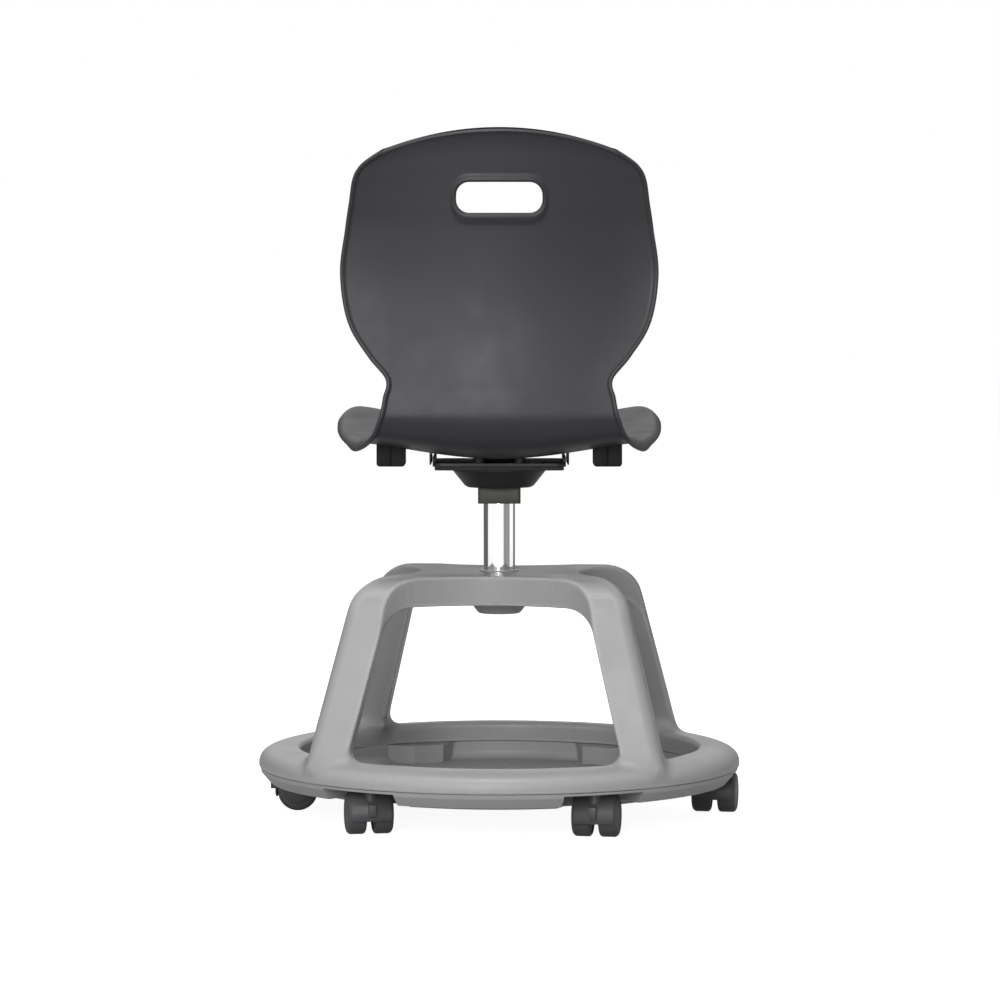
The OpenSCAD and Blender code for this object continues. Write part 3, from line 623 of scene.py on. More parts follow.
@dataclass
class ShellForm:
    """The seat and back as one sheet, by the same stations as the construction model, in millimetres.

    Attributes:
        wall: Thickness.
        lip_swell: How much thicker it is at the top lip.
        lip_roll: How far the top rolls back.
        roll_start: Station near which it starts to.
        roll_power: How late the roll sets in.
        roll_flat: Share of it that is lost at the sides.
        seat_height: Height of the seat's pan.
        seat_half: Half the seat's width.
        back_half: Half the back's width.
        waist_half: Half the waist's width.
        back_rise: Height of the top above the pan.
        seat_dish: How far the seat's sides rise.
        edge_turn: How far its edges turn down.
        turn_power: How late they do.
        back_wrap: How far the back's sides come forward.
        lift_power: How much steeper the sides' rise is at first than further out.
        edge_start: Share of the half width from which the sides level out.
        edge_slope: Share of their slope that is left there.
        ease: Half the share of the width over which they do.
        edge_fold: Share of the half width over which a thin edge folds.
        pan: Stations between which the seat's pan lies.
        upper_back: Stations between which the slot's part of the back lies.
        stations: Depth, height above the pan, half width, side lift, edge turn, top arch and the share of
            the half width over which the edge turns, from the seat's front to the top.
    """

    wall: float = 5.0
    lip_swell: float = 1.5
    lip_roll: float = 11.5
    roll_start: float = 17.0
    roll_power: float = 1.4
    roll_flat: float = 0.55
    seat_height: float = 428.0
    seat_half: float = 198.0
    back_half: float = 184.5
    waist_half: float = 131.5
    back_rise: float = 383.5
    seat_dish: float = 27.0
    edge_turn: float = 18.0
    turn_power: float = 2.2
    back_wrap: float = 28.0
    lift_power: float = 0.6
    edge_start: float = 0.84
    edge_slope: float = 0.35
    ease: float = 0.17
    edge_fold: float = 0.045
    pan: Range = (2.0, 8.5)
    upper_back: Range = (13.0, 19.0)
    stations: np.ndarray = field(init=False)

    def __post_init__(self) -> None:
        """Works out the stations from the sizes."""
        seat, back, waist = self.seat_half, self.back_half, self.waist_half
        rise, dish, turn = self.back_rise, self.seat_dish, self.edge_turn
        wrap, fold = self.back_wrap, self.edge_fold
        self.stations = np.array([
            [-214, 4, seat - 44, dish - 10, turn - 10, 0, 0.16],
            [-207, 15, seat - 27, dish - 5, turn - 6, 0, 0.16],
            [-188, 22, seat - 12, dish - 1.5, turn - 1, 0, 0.14],
            [-150, 23, seat - 1, dish - 0.5, turn - 1, 0, 0.11],
            [-95, 17, seat - 1, dish - 7, turn - 4, 0, 0.07],
            [-30, 6, seat - 7, dish - 8, turn - 9, 0, fold],
            [35, 0, seat - 17, dish - 8, turn - 9, 0, fold],
            [90, 1, seat - 28.5, dish - 10, turn - 5, 0, 0.06],
            [150, 15, waist + 19, dish - 14, turn - 9, 0, 0.05],
            [173.5, 42, waist + 8, dish - 15, 6, 0, fold],
            [174.5, 72, waist + 2, wrap * 0.45, 6, 0, fold],
            [170, 95, waist - 1, wrap * 0.45, 6, 0, fold],
            [166.5, 122, waist + 21, wrap * 0.6, 5, 0, fold],
            [165, 160, back - 8.5, wrap * 0.8, 5, 0, fold],
            [169, 212, back, wrap, 5, 0, fold],
            [177, 262, back - 6, wrap, 5, 2, fold],
            [185, rise - 84, back - 11, wrap * 0.9, 5, 8, fold],
            [193, rise - 44, back - 15.5, wrap * 0.8, 5, 20, fold],
            [196, rise - 22, back - 23.5, wrap * 0.7, 5, 27.5, fold],
            [198, rise - 9, back - 35, wrap * 0.6, 4, 31, fold],
            [200, rise - 3, back - 49, wrap * 0.55, 3, 29, fold]], float)

    @property
    def last(self) -> int:
        """Number of the last station."""
        return len(self.stations) - 1

    def station(self, u: np.ndarray) -> np.ndarray:
        """Station values at places between stations.

        Args:
            u: Places along the centre line, 0 to last.

        Returns:
            One row of seven values for each place.
        """
        i = np.minimum(np.floor(u).astype(int), self.last - 1)
        f = (u - i)[..., None]
        a, b = self.stations[np.maximum(i - 1, 0)], self.stations[i]
        c, d = self.stations[i + 1], self.stations[np.minimum(i + 2, self.last)]
        return b + 0.5 * f * (c - a + f * (2 * a - 5 * b + 4 * c - d + f * (3 * (b - c) + d - a)))

    def middle(self, u: np.ndarray, t: np.ndarray) -> np.ndarray:
        """Points on the middle of the sheet.

        Args:
            u: Places along the centre line.
            t: Places across, -1 to 1.

        Returns:
            Points in millimetres.
        """
        depth, height, half, lift, turn, top_arch, fold = np.moveaxis(self.station(u), -1, 0)
        v = np.minimum(u, self.roll_start)
        way = (self.station(np.minimum(v + 0.1, self.last)) - self.station(np.maximum(v - 0.1, 0)))[..., :2]
        way = way / np.linalg.norm(way, axis=-1, keepdims=True)
        x = np.abs(t) / self.edge_start
        over = np.clip(x - 1 + self.ease, 0, 2 * self.ease)
        a = x - (1 - self.edge_slope) * (over * over / (4 * self.ease) + np.maximum(0, x - 1 - self.ease))
        down = (np.maximum(0, np.abs(t) - 1 + fold) / fold) ** self.turn_power
        off = lift * a * a * (1 + self.lift_power - self.lift_power * a) - turn * down
        arch = top_arch * t * t
        rolled = np.maximum(0, u - self.roll_start + 1) / (self.last - self.roll_start + 1)
        roll = self.lip_roll * rolled ** self.roll_power
        return np.stack([half * t,
                         depth - way[..., 1] * off - way[..., 0] * arch + roll * (1 - self.roll_flat * t * t),
                         self.seat_height + height + way[..., 0] * off - way[..., 1] * arch], -1)

    def half_wall(self, u: np.ndarray) -> np.ndarray:
        """Half the sheet's thickness, which swells at the top lip."""
        return (self.wall + self.lip_swell * np.maximum(0, u - self.last + 1)) / 2

    def normal(self, u: np.ndarray, t: np.ndarray) -> np.ndarray:
        """Unit normals of the sheet, towards the sitter.

        Args:
            u: Places along the centre line.
            t: Places across.

        Returns:
            One normal for each place.
        """
        step = 0.02
        across = self.middle(u, np.minimum(t + step, 1)) - self.middle(u, np.maximum(t - step, -1))
        along = self.middle(np.minimum(u + step, self.last), t) - self.middle(np.maximum(u - step, 0), t)
        n = np.cross(across, along)
        return n / np.linalg.norm(n, axis=-1, keepdims=True)

    def on_back(self, x: np.ndarray, z: np.ndarray) -> tuple[np.ndarray, np.ndarray]:
        """Finds the places of points on the upper back by their width and height.

        Args:
            x: Distances from the centre line in millimetres.
            z: Heights in millimetres.

        Returns:
            The places along and across.
        """
        low, high = halve(*self.upper_back, x, lambda u: self.middle(u, x / self.station(u)[..., 2])[..., 2] > z)
        u = (low + high) / 2
        return u, x / self.station(u)[..., 2]

    def on_seat(self, x: np.ndarray, y: np.ndarray) -> np.ndarray:
        """Heights of the sheet's middle over points of the seat.

        Args:
            x: Distances from the centre line.
            y: Depths.

        Returns:
            The heights in millimetres.
        """
        low, high = halve(*self.pan, x, lambda u: self.middle(u, x / self.station(u)[..., 2])[..., 1] > y)
        u = (low + high) / 2
        return self.middle(u, x / self.station(u)[..., 2])[..., 2]


@dataclass
class Sheet:
    """A sheet on its way to a closed moulding: two skins, and the half-round rims that join them.

    Attributes:
        middle: Points on the middle of the sheet, in millimetres.
        normal: Its unit normals.
        front: Points of the skin on the normals' side.
        back: Points of the other skin.
        quads: Point numbers of the sheet's faces.
        reach: How far a rim stands out at most.
        points: Arrays of all points so far.
        faces: All faces so far.
    """

    middle: np.ndarray
    normal: np.ndarray
    front: np.ndarray
    back: np.ndarray
    quads: list
    reach: float
    points: list = field(init=False)
    faces: list = field(init=False)

    def __post_init__(self) -> None:
        """Starts with the two skins."""
        count = len(self.middle)
        self.points = [self.front, self.back]
        self.faces = [*self.quads, *(tuple(count + v for v in reversed(q)) for q in self.quads)]

    def round_rim(self, ring: np.ndarray, sign: int, steps: int = 6) -> None:
        """Closes an edge with a half-round rim.

        Args:
            ring: The edge's points in order.
            sign: 1 for the outer edge, -1 for a hole.
            steps: Bands round the rim.
        """
        place, thick = self.middle[ring], self.front[ring] - self.back[ring]
        out = np.cross(np.roll(place, -1, 0) - np.roll(place, 1, 0), self.normal[ring])
        out *= sign / (np.linalg.norm(out, axis=1, keepdims=True) + 1e-9)
        centre = (self.front[ring] + self.back[ring]) / 2
        radius = np.linalg.norm(thick, axis=1)[:, None] / 2
        up = thick / (2 * radius)
        previous, total = ring, sum(map(len, self.points))
        for k in range(1, steps):
            a = math.pi * k / steps
            self.points.append(centre + up * radius * math.cos(a)
                               + out * np.minimum(radius, self.reach) * math.sin(a))
            now = np.arange(total, total + len(ring))
            total += len(ring)
            self._band(previous, now, sign)
            previous = now
        self._band(previous, ring + len(self.middle), sign)

    def _band(self, a: np.ndarray, b: np.ndarray, sign: int) -> None:
        """Adds a band of faces between two rings, turned over for a hole."""
        quads = zip(np.roll(a, -1), a, b, np.roll(b, -1))
        self.faces += [quad if sign > 0 else quad[::-1] for quad in quads]


def walk_round(ids: np.ndarray, top: int, bottom: int, left: int, right: int) -> np.ndarray:
    """The point numbers on the border of a block of a grid, in order."""
    return np.concatenate([ids[top, left:right], ids[top:bottom, right],
                           ids[bottom, right:left:-1], ids[bottom:top:-1, left]])


@dataclass
class SeatShell:
    """The shell moulding with its rounded rim and its lipped hand slot, in millimetres.

    Attributes:
        form: The sheet.
        rows: Rows of faces to a station.
        columns: Columns of faces.
        crowd: How much closer the columns stand at the folded edges.
        slot_w: Width of the hand slot.
        slot_h: Its height.
        slot_drop: Its centre below the top.
        slot_round: Corner radius of the slot, as a share of its height.
        slot_rings: Rings of faces round it.
        slot_room: Room round it, across and up, that these rings take.
        rim_round: Radius by which its rim stands into the opening.
        lip_side: Width of the raised lip at the slot's ends.
        lip_over: Width of the lip above the slot.
        lip_flat: Width of the lip below the slot.
        lip_high: How far the lip stands out of the back.
        lip_front: Share of that on the sitter's side.
        lip_slope: Share of the lip's width over which it rises.
        screw_x: Half the distance between the screw bosses across.
        screw_y: Half their distance in depth.
        boss_drop: How far the bosses reach below the seat's pan.
        rib_x: Half the distance between the ribs.
        rib_t: Thickness of a rib.
        rib_low: How far the ribs' lower edge lies below the pan.
        rib_half: Half the length of a rib.
        rib_level: Half the length of its level part, past which its lower edge rises.
        rib_rise: Slope of that rise.
    """

    form: ShellForm = field(default_factory=ShellForm)
    rows: int = 8
    columns: int = 112
    crowd: float = 0.5
    slot_w: float = 99.0
    slot_h: float = 35.0
    slot_drop: float = 80.5
    slot_round: float = 0.42
    slot_rings: int = 16
    slot_room: tuple[float, float] = (16, 18)
    rim_round: float = 3.25
    lip_side: float = 7.5
    lip_over: float = 10.5
    lip_flat: float = 15.0
    lip_high: float = 3.2
    lip_front: float = 0.3
    lip_slope: float = 0.7
    screw_x: float = 24.0
    screw_y: float = 62.0
    boss_drop: float = 8.0
    rib_x: float = 82.0
    rib_t: float = 1.6
    rib_low: float = 11.0
    rib_half: float = 60.0
    rib_level: float = 50.0
    rib_rise: float = 0.6

    @property
    def slot_z(self) -> float:
        """Height of the slot's centre."""
        return self.form.seat_height + self.form.back_rise - self.slot_drop

    def build(self) -> bpy.types.Object:
        """Builds the moulding.

        Returns:
            The shell's object.
        """
        form = self.form
        u, t = self._grid()
        ids = np.arange(u.size).reshape(u.shape)
        rows, columns = u.shape[0] - 1, u.shape[1] - 1
        r0, r1, c0, c1 = self._window(form.middle(u, t))
        quads = [(ids[i, j], ids[i, j + 1], ids[i + 1, j + 1], ids[i + 1, j])
                 for i in range(rows) for j in range(columns) if not (r0 <= i < r1 and c0 <= j < c1)]
        all_u, all_t, hole = self._slot_rings(u.ravel(), t.ravel(), walk_round(ids, r0, r1, c0, c1), quads)
        middle, normal = form.middle(all_u, all_t), form.normal(all_u, all_t)
        lip, half = self._lip(middle), form.half_wall(all_u)
        sheet = Sheet(middle, normal, middle + normal * (half + self.lip_front * lip)[:, None],
                      middle - normal * (half + lip)[:, None], quads, self.rim_round)
        sheet.round_rim(walk_round(ids, 0, rows, 0, columns), 1)
        sheet.round_rim(hole, -1)
        return smooth(add_mesh("shell_moulding", np.concatenate(sheet.points) * MM, sheet.faces), 60)

    def _grid(self) -> tuple[np.ndarray, np.ndarray]:
        """Places of the sheet's points, which end half a wall inside its edges.

        Returns:
            The places along and across, each with a row for each place along.
        """
        form = self.form
        us = np.linspace(0, form.last, form.last * self.rows + 1)
        # Small steps along and across, over which the sheet's length is measured
        step, hair = 0.1, 0.005
        for row, ends, sign in ((0, (0.0, step), 1), (-1, (form.last - step, float(form.last)), -1)):
            first, second = form.middle(np.array(ends), np.zeros(2))
            us[row] += sign * step * form.half_wall(us[row]) / np.linalg.norm(second - first)
        edge = np.ones(len(us))
        slope = np.linalg.norm(form.middle(us, edge) - form.middle(us, edge - hair), axis=1) / hair
        even = np.linspace(-1, 1, self.columns + 1)
        ts = even * (1 + self.crowd - self.crowd * even * even)
        return np.repeat(us[:, None], len(ts), 1), ts[None, :] * (1 - form.half_wall(us) / slope)[:, None]

    def _window(self, middle: np.ndarray) -> tuple[int, int, int, int]:
        """The block of the grid that is left out for the slot and its lip.

        Args:
            middle: The grid's points.

        Returns:
            Its first and last row, and its first and last column.
        """
        across, up = self.slot_w / 2 + self.slot_room[0], self.slot_h / 2 + self.slot_room[1]
        near = (np.abs(middle[..., 0]) < across) & (np.abs(middle[..., 2] - self.slot_z) < up)
        rows, columns = np.where(near.any(1))[0], np.where(near.any(0))[0]
        return rows[0], rows[-1], columns[0], columns[-1]

    def _slot_rings(self, u: np.ndarray, t: np.ndarray, loop: np.ndarray,
                    quads: list) -> tuple[np.ndarray, np.ndarray, np.ndarray]:
        """Fills the block round the slot with rings that narrow to its outline.

        Args:
            u: Places of the grid's points along.
            t: Places across.
            loop: The block's border.
            quads: Faces so far, to which the rings' faces are added.

        Returns:
            The places of all points along and across, and the point numbers of the slot's edge.
        """
        edge = self.form.middle(u[loop], t[loop])[:, [0, 2]] - (0, self.slot_z)
        hole = self._slot_outline(edge)
        all_u, all_t, count, previous = [u], [t], len(u), loop
        for share in np.linspace(0, 1, self.slot_rings + 1)[1:]:
            x, z = (edge * (1 - share) + hole * share).T
            ring_u, ring_t = self.form.on_back(x, z + self.slot_z)
            all_u.append(ring_u)
            all_t.append(ring_t)
            now = np.arange(count, count + len(loop))
            count += len(loop)
            quads += zip(previous, np.roll(previous, -1), np.roll(now, -1), now)
            previous = now
        return np.concatenate(all_u), np.concatenate(all_t), previous

    def _slot_outline(self, points: np.ndarray) -> np.ndarray:
        """The slot outline's points in the directions of points round it, a rim's radius outside the opening.

        Args:
            points: Places across and up from the slot's centre.

        Returns:
            The outline's places.
        """
        x, z = np.abs(points.T)
        r = self.slot_h * self.slot_round + self.rim_round
        w, h = self.slot_w / 2 + self.rim_round - r, self.slot_h / 2 + self.rim_round - r
        low, _ = halve(0.0, 1.0, x, lambda s: np.hypot(np.maximum(x * s - w, 0), np.maximum(z * s - h, 0)) > r)
        return points * low[:, None]

    def _lip(self, points: np.ndarray) -> np.ndarray:
        """How far the raised lip stands out at each point.

        Args:
            points: Points in millimetres.

        Returns:
            The height of the lip at each point.
        """
        r, slot_z = self.slot_h * self.slot_round, self.slot_z
        dx = np.maximum(np.abs(points[:, 0]) - (self.slot_w / 2 - r), 0)
        dz = np.maximum(np.abs(points[:, 2] - slot_z) - (self.slot_h / 2 - r), 0)
        out = np.hypot(dx, dz) - r
        upright = np.clip(dz / (np.hypot(dx, dz) + 1e-6), 0, 1) ** 2
        flat = np.where(points[:, 2] > slot_z, self.lip_over, self.lip_flat)
        reach = self.lip_side + (flat - self.lip_side) * upright
        share = np.clip((reach - out) / (reach * self.lip_slope), 0, 1)
        return self.lip_high * share * share * (3 - 2 * share)

    def build_ribs(self) -> bpy.types.Object:
        """Builds the ribs and the screw bosses under the seat.

        Returns:
            One object with all of them.
        """
        points, faces = [], []
        foot = self.form.seat_height - self.boss_drop
        for x in (-self.screw_x, self.screw_x):
            for y in (-self.screw_y, self.screw_y):
                top = float(self.form.on_seat(np.array([x]), np.array([y]))[0]) + 1.0
                boss = lathe([(0.0, foot), (3.5, foot), (6.0, foot), (6.2, top - 4.2), (7.0, top - 2.2),
                              (8.4, top), (0.0, top)], 32)
                self._gather(points, faces, boss, (x, y, 0))
        for x in (-self.rib_x, self.rib_x):
            self._gather(points, faces, self._rib(x), (0, 0, 0))
        return smooth(add_mesh("shell_ribs", np.array(points) * MM, faces), 40)

    def _rib(self, x: float, cuts: int = 25) -> tuple[list, list]:
        """One thin rib along the seat.

        Args:
            x: Its place across.
            cuts: Sections along it.

        Returns:
            Its points and faces.
        """
        low = self.form.seat_height - self.rib_low
        ys = np.linspace(-self.rib_half, self.rib_half, cuts)
        pts, faces = [], []
        for y, top in zip(ys, self.form.on_seat(np.full(cuts, x), ys)):
            rise = max(0.0, abs(y) - self.rib_level) * self.rib_rise
            for side in (-self.rib_t / 2, self.rib_t / 2):
                pts += [(x + side, y, top), (x + side, y, min(top - 0.5, low + rise))]
        end = len(pts) - 4
        for a in range(0, end, 4):
            b = a + 4
            faces += [(a, a + 1, b + 1, b), (a + 2, b + 2, b + 3, a + 3), (a + 1, a + 3, b + 3, b + 1),
                      (a, b, b + 2, a + 2)]
        faces += [(0, 2, 3, 1), (end, end + 1, end + 3, end + 2)]
        return pts, faces

    @staticmethod
    def _gather(points: list, faces: list, part: tuple[list, list], shift: Sequence[float]) -> None:
        """Adds the points and faces of a part, moved by a shift, to those so far."""
        faces += [[len(points) + v for v in face] for face in part[1]]
        points += [(x + shift[0], y + shift[1], z + shift[2]) for x, y, z in part[0]]

    def dress(self) -> None:
        """Builds and finishes the shell."""
        dress(self.build(), Finishes.shell, "seat", "seat_shell")
        dress(self.build_ribs(), Finishes.shell, "seat")


# Base


@dataclass
class BaseMoulding:
    """Foot ring, legs and deck as one flowing moulding.

    Attributes:
        cell: Cell of the skin in metres.
        rounds: Smoothing rounds over the whole.
        fill_rounds: Rounds that fill the creases at the legs' feet.
        slide: Share by which a round moves a point.
        hold: Share of an inward move that the filling leaves out, so that rounded edges stay.
        keep: Share of the faces kept at the end.
        turned: How far the base stands turned, in degrees.
        ring_in: Radius of the ring's inner wall.
        foot_low: Height at which the legs' inner feet have run out into that wall, and filling starts.
        foot_top: Height at which they start to.
        foot_in: Share of ring_in from which a foot's points are led out.
        fill_top: Height at which filling ends.
        fill_side: Distance from the base's middle planes at which it starts.
        fades: Lengths over which it comes in at foot_low, at fill_top and at fill_side.
    """

    cell: float = 0.0017
    rounds: int = 8
    fill_rounds: int = 220
    slide: float = 0.5
    hold: float = 0.97
    keep: float = 0.3
    turned: float = 5.0
    ring_in: float = 0.238
    foot_low: float = 0.056
    foot_top: float = 0.1
    foot_in: float = 0.6
    fill_top: float = 0.135
    fill_side: float = 0.1
    fades: tuple[float, float, float] = (0.004, 0.03, 0.02)

    def build(self) -> bpy.types.Object:
        """Builds the moulding over the construction node's form.

        Returns:
            The moulding's object.
        """
        obj = copy_node("base_moulding", "base_frame")
        skin = obj.modifiers.new("skin", "REMESH")
        skin.mode = "VOXEL"
        skin.voxel_size = self.cell
        apply_modifiers(obj)
        self._flare_feet(obj.data)
        self._fill_feet(obj.data)
        soften = obj.modifiers.new("soften", "SMOOTH")
        soften.factor = self.slide
        soften.iterations = self.rounds
        fewer = obj.modifiers.new("fewer", "DECIMATE")
        fewer.ratio = self.keep
        return smooth(apply_modifiers(obj), 60)

    def _flare_feet(self, mesh: bpy.types.Mesh) -> None:
        """Leads the legs' inner feet out into the ring's inner wall, so that no block stands inside the ring.

        Args:
            mesh: The skin.
        """
        co = read_points(mesh, np.float32)
        out = np.hypot(co[:, 0], co[:, 1])
        share = ramp(co[:, 2], self.foot_top, self.foot_low - self.foot_top)
        inside = (out > self.ring_in * self.foot_in) & (out < self.ring_in)
        share = np.where(inside, share * share * (3 - 2 * share), 0)
        grow = 1 + share * (self.ring_in / np.maximum(out, 1e-6) - 1)
        co[:, :2] *= grow[:, None]
        write_points(mesh, co)

    def _fill_feet(self, mesh: bpy.types.Mesh) -> None:
        """Fills the creases where the legs meet the ring, and leaves the rounded edges as they are.

        Args:
            mesh: The skin.
        """
        co = read_points(mesh)
        weight = self._fill_weight(co)
        part = np.where(weight > 0)[0]
        place = np.full(len(co), -1)
        place[part] = np.arange(len(part))
        quads = np.zeros(len(mesh.polygons) * 4, np.int64)
        mesh.polygons.foreach_get("vertices", quads)
        # Only faces with all their corners in the part count, and the points on its border stay
        whole = np.bincount(quads, minlength=len(co))[part]
        quads = place[quads.reshape(-1, 4)]
        quads = quads[(quads >= 0).all(1)]
        starts, ends = quads.ravel(), np.roll(quads, -1, 1).ravel()
        faces_at = np.bincount(starts, minlength=len(part))
        count = np.maximum(faces_at + np.bincount(ends, minlength=len(part)), 1)[:, None]
        own, share = co[part], weight[part][:, None]
        share[faces_at < whole] = 0
        for _ in range(self.fill_rounds):
            cross = np.cross(own[quads[:, 2]] - own[quads[:, 0]], own[quads[:, 3]] - own[quads[:, 1]])
            normal, total = np.empty_like(own), np.empty_like(own)
            for k in range(3):
                normal[:, k] = np.bincount(starts, np.repeat(cross[:, k], 4), len(part))
                total[:, k] = np.bincount(starts, own[ends, k], len(part))
                total[:, k] += np.bincount(ends, own[starts, k], len(part))
            normal /= np.linalg.norm(normal, axis=1, keepdims=True) + 1e-12
            # Each point goes towards the middle of its neighbours, but hardly inwards
            move = total / count - own
            out = (move * normal).sum(1, keepdims=True)
            own = own + self.slide * share * (move - normal * out * np.where(out > 0, 0.0, self.hold))
        co[part] = own
        write_points(mesh, co)

    def _fill_weight(self, co: np.ndarray) -> np.ndarray:
        """How much each point takes part in the filling.

        Args:
            co: The skin's points.

        Returns:
            A share for each point.
        """
        turn, (low, top, side) = math.radians(self.turned), self.fades
        x = np.abs(co[:, 0] * math.cos(turn) - co[:, 1] * math.sin(turn))
        y = np.abs(co[:, 0] * math.sin(turn) + co[:, 1] * math.cos(turn))
        weight = ramp(co[:, 2], self.foot_low, low) * ramp(co[:, 2], self.fill_top, -top)
        return weight * ramp(np.minimum(x, y), self.fill_side, side)

    def dress(self) -> None:
        """Builds and finishes the moulding."""
        dress(self.build(), Finishes.base, "base", "base_frame")


# Castors


@dataclass
class CastorWheel:
    """A castor wheel with a rounded tread and a domed face. Sizes in millimetres.

    Attributes:
        radius: Outer radius.
        width: Width.
        gap: Space between the two wheels.
        inner_round: Radius of the tread's inner edge.
        outer_round: Radius of its outer edge.
        steps: Points round the wheel.
    """

    radius: float = 24.0
    width: float = 22.0
    gap: float = 9.0
    inner_round: float = 4.0
    outer_round: float = 5.5
    steps: int = 72

    def profile(self) -> list[tuple[float, float]]:
        """The wheel's section, from the axis on the inner side round to the axis on the outer side.

        Returns:
            Radius and distance from the inner side, in metres.
        """
        r, w, a, b = self.radius, self.width, self.inner_round, self.outer_round
        bore = [(0.0, w - 3.95), (3.0, w - 4.0), (3.05, 0.0)]
        hub = [(6.5, 0.0), (6.5, 1.5), (r - 5.2, 1.5), (r - 5.0, 1.3), (r - 5.0, 0.4), (r - 4.6, 0.1)]
        tread = [(r - a + a * math.sin(v), a - a * math.cos(v)) for v in np.linspace(0.1, math.pi / 2, 7)]
        tread += [(r - b + b * math.cos(v), w - b + b * math.sin(v)) for v in np.linspace(0.05, 1.25, 8)]
        groove = [(r * 0.70, w - 0.15), (r * 0.685, w - 0.4), (r * 0.67, w - 0.4), (r * 0.655, w - 0.2)]
        dome = [(r * 0.4, w - 0.35), (r * 0.15, w - 0.3), (0.0, w - 0.25)]
        return [(x * MM, z * MM) for x, z in [*bore, *hub, *tread, *groove, *dome]]

    def build(self, name: str, centre: Vector, axle: Vector) -> bpy.types.Object:
        """Builds one wheel in place.

        Args:
            name: The piece's name.
            centre: Middle of the axle.
            axle: Unit vector from the middle towards this wheel.

        Returns:
            The wheel's object.
        """
        points, faces = lathe(self.profile(), self.steps)
        turn = axle.to_track_quat("Z", "Y").to_matrix().to_4x4()
        place = Matrix.Translation(centre) @ turn @ Matrix.Translation((0, 0, self.gap / 2 * MM))
        return smooth(add_mesh(name, [place @ Vector(p) for p in points], faces), 32)


@dataclass
class Castor:
    """A twin-wheel castor: stem and axle from the construction model, hood rounded and wheels made here.

    Attributes:
        number: 1 to 6.
        wheel: The form of its wheels.
        rounding: Edge rounding of the hood in metres.
    """

    number: int
    wheel: CastorWheel = field(default_factory=CastorWheel)
    rounding: float = 0.0009

    def joint(self, side: str) -> dict:
        """The record of the joint on which the left or right wheel rolls."""
        return next(j for j in frame["joints"] if j["name"] == f"castor_{self.number}_{side}_roll")

    def dress(self) -> None:
        """Builds and finishes the castor."""
        body = f"castor_{self.number}"
        for side, sign in (("left", -1), ("right", 1)):
            joint = self.joint(side)
            centre, axle = Vector(joint["pos_m"]), Vector(joint["axis"]) * sign
            obj = self.wheel.build(f"wheel_{self.number}_{side}", centre, axle)
            dress(obj, Finishes.wheel, f"{body}_{side}", f"{body}_wheel_{side}")
        hood = remould(f"hood_{self.number}", f"{body}_housing", self.rounding)
        dress(hood, Finishes.castor, body, f"{body}_housing")


# Fasteners


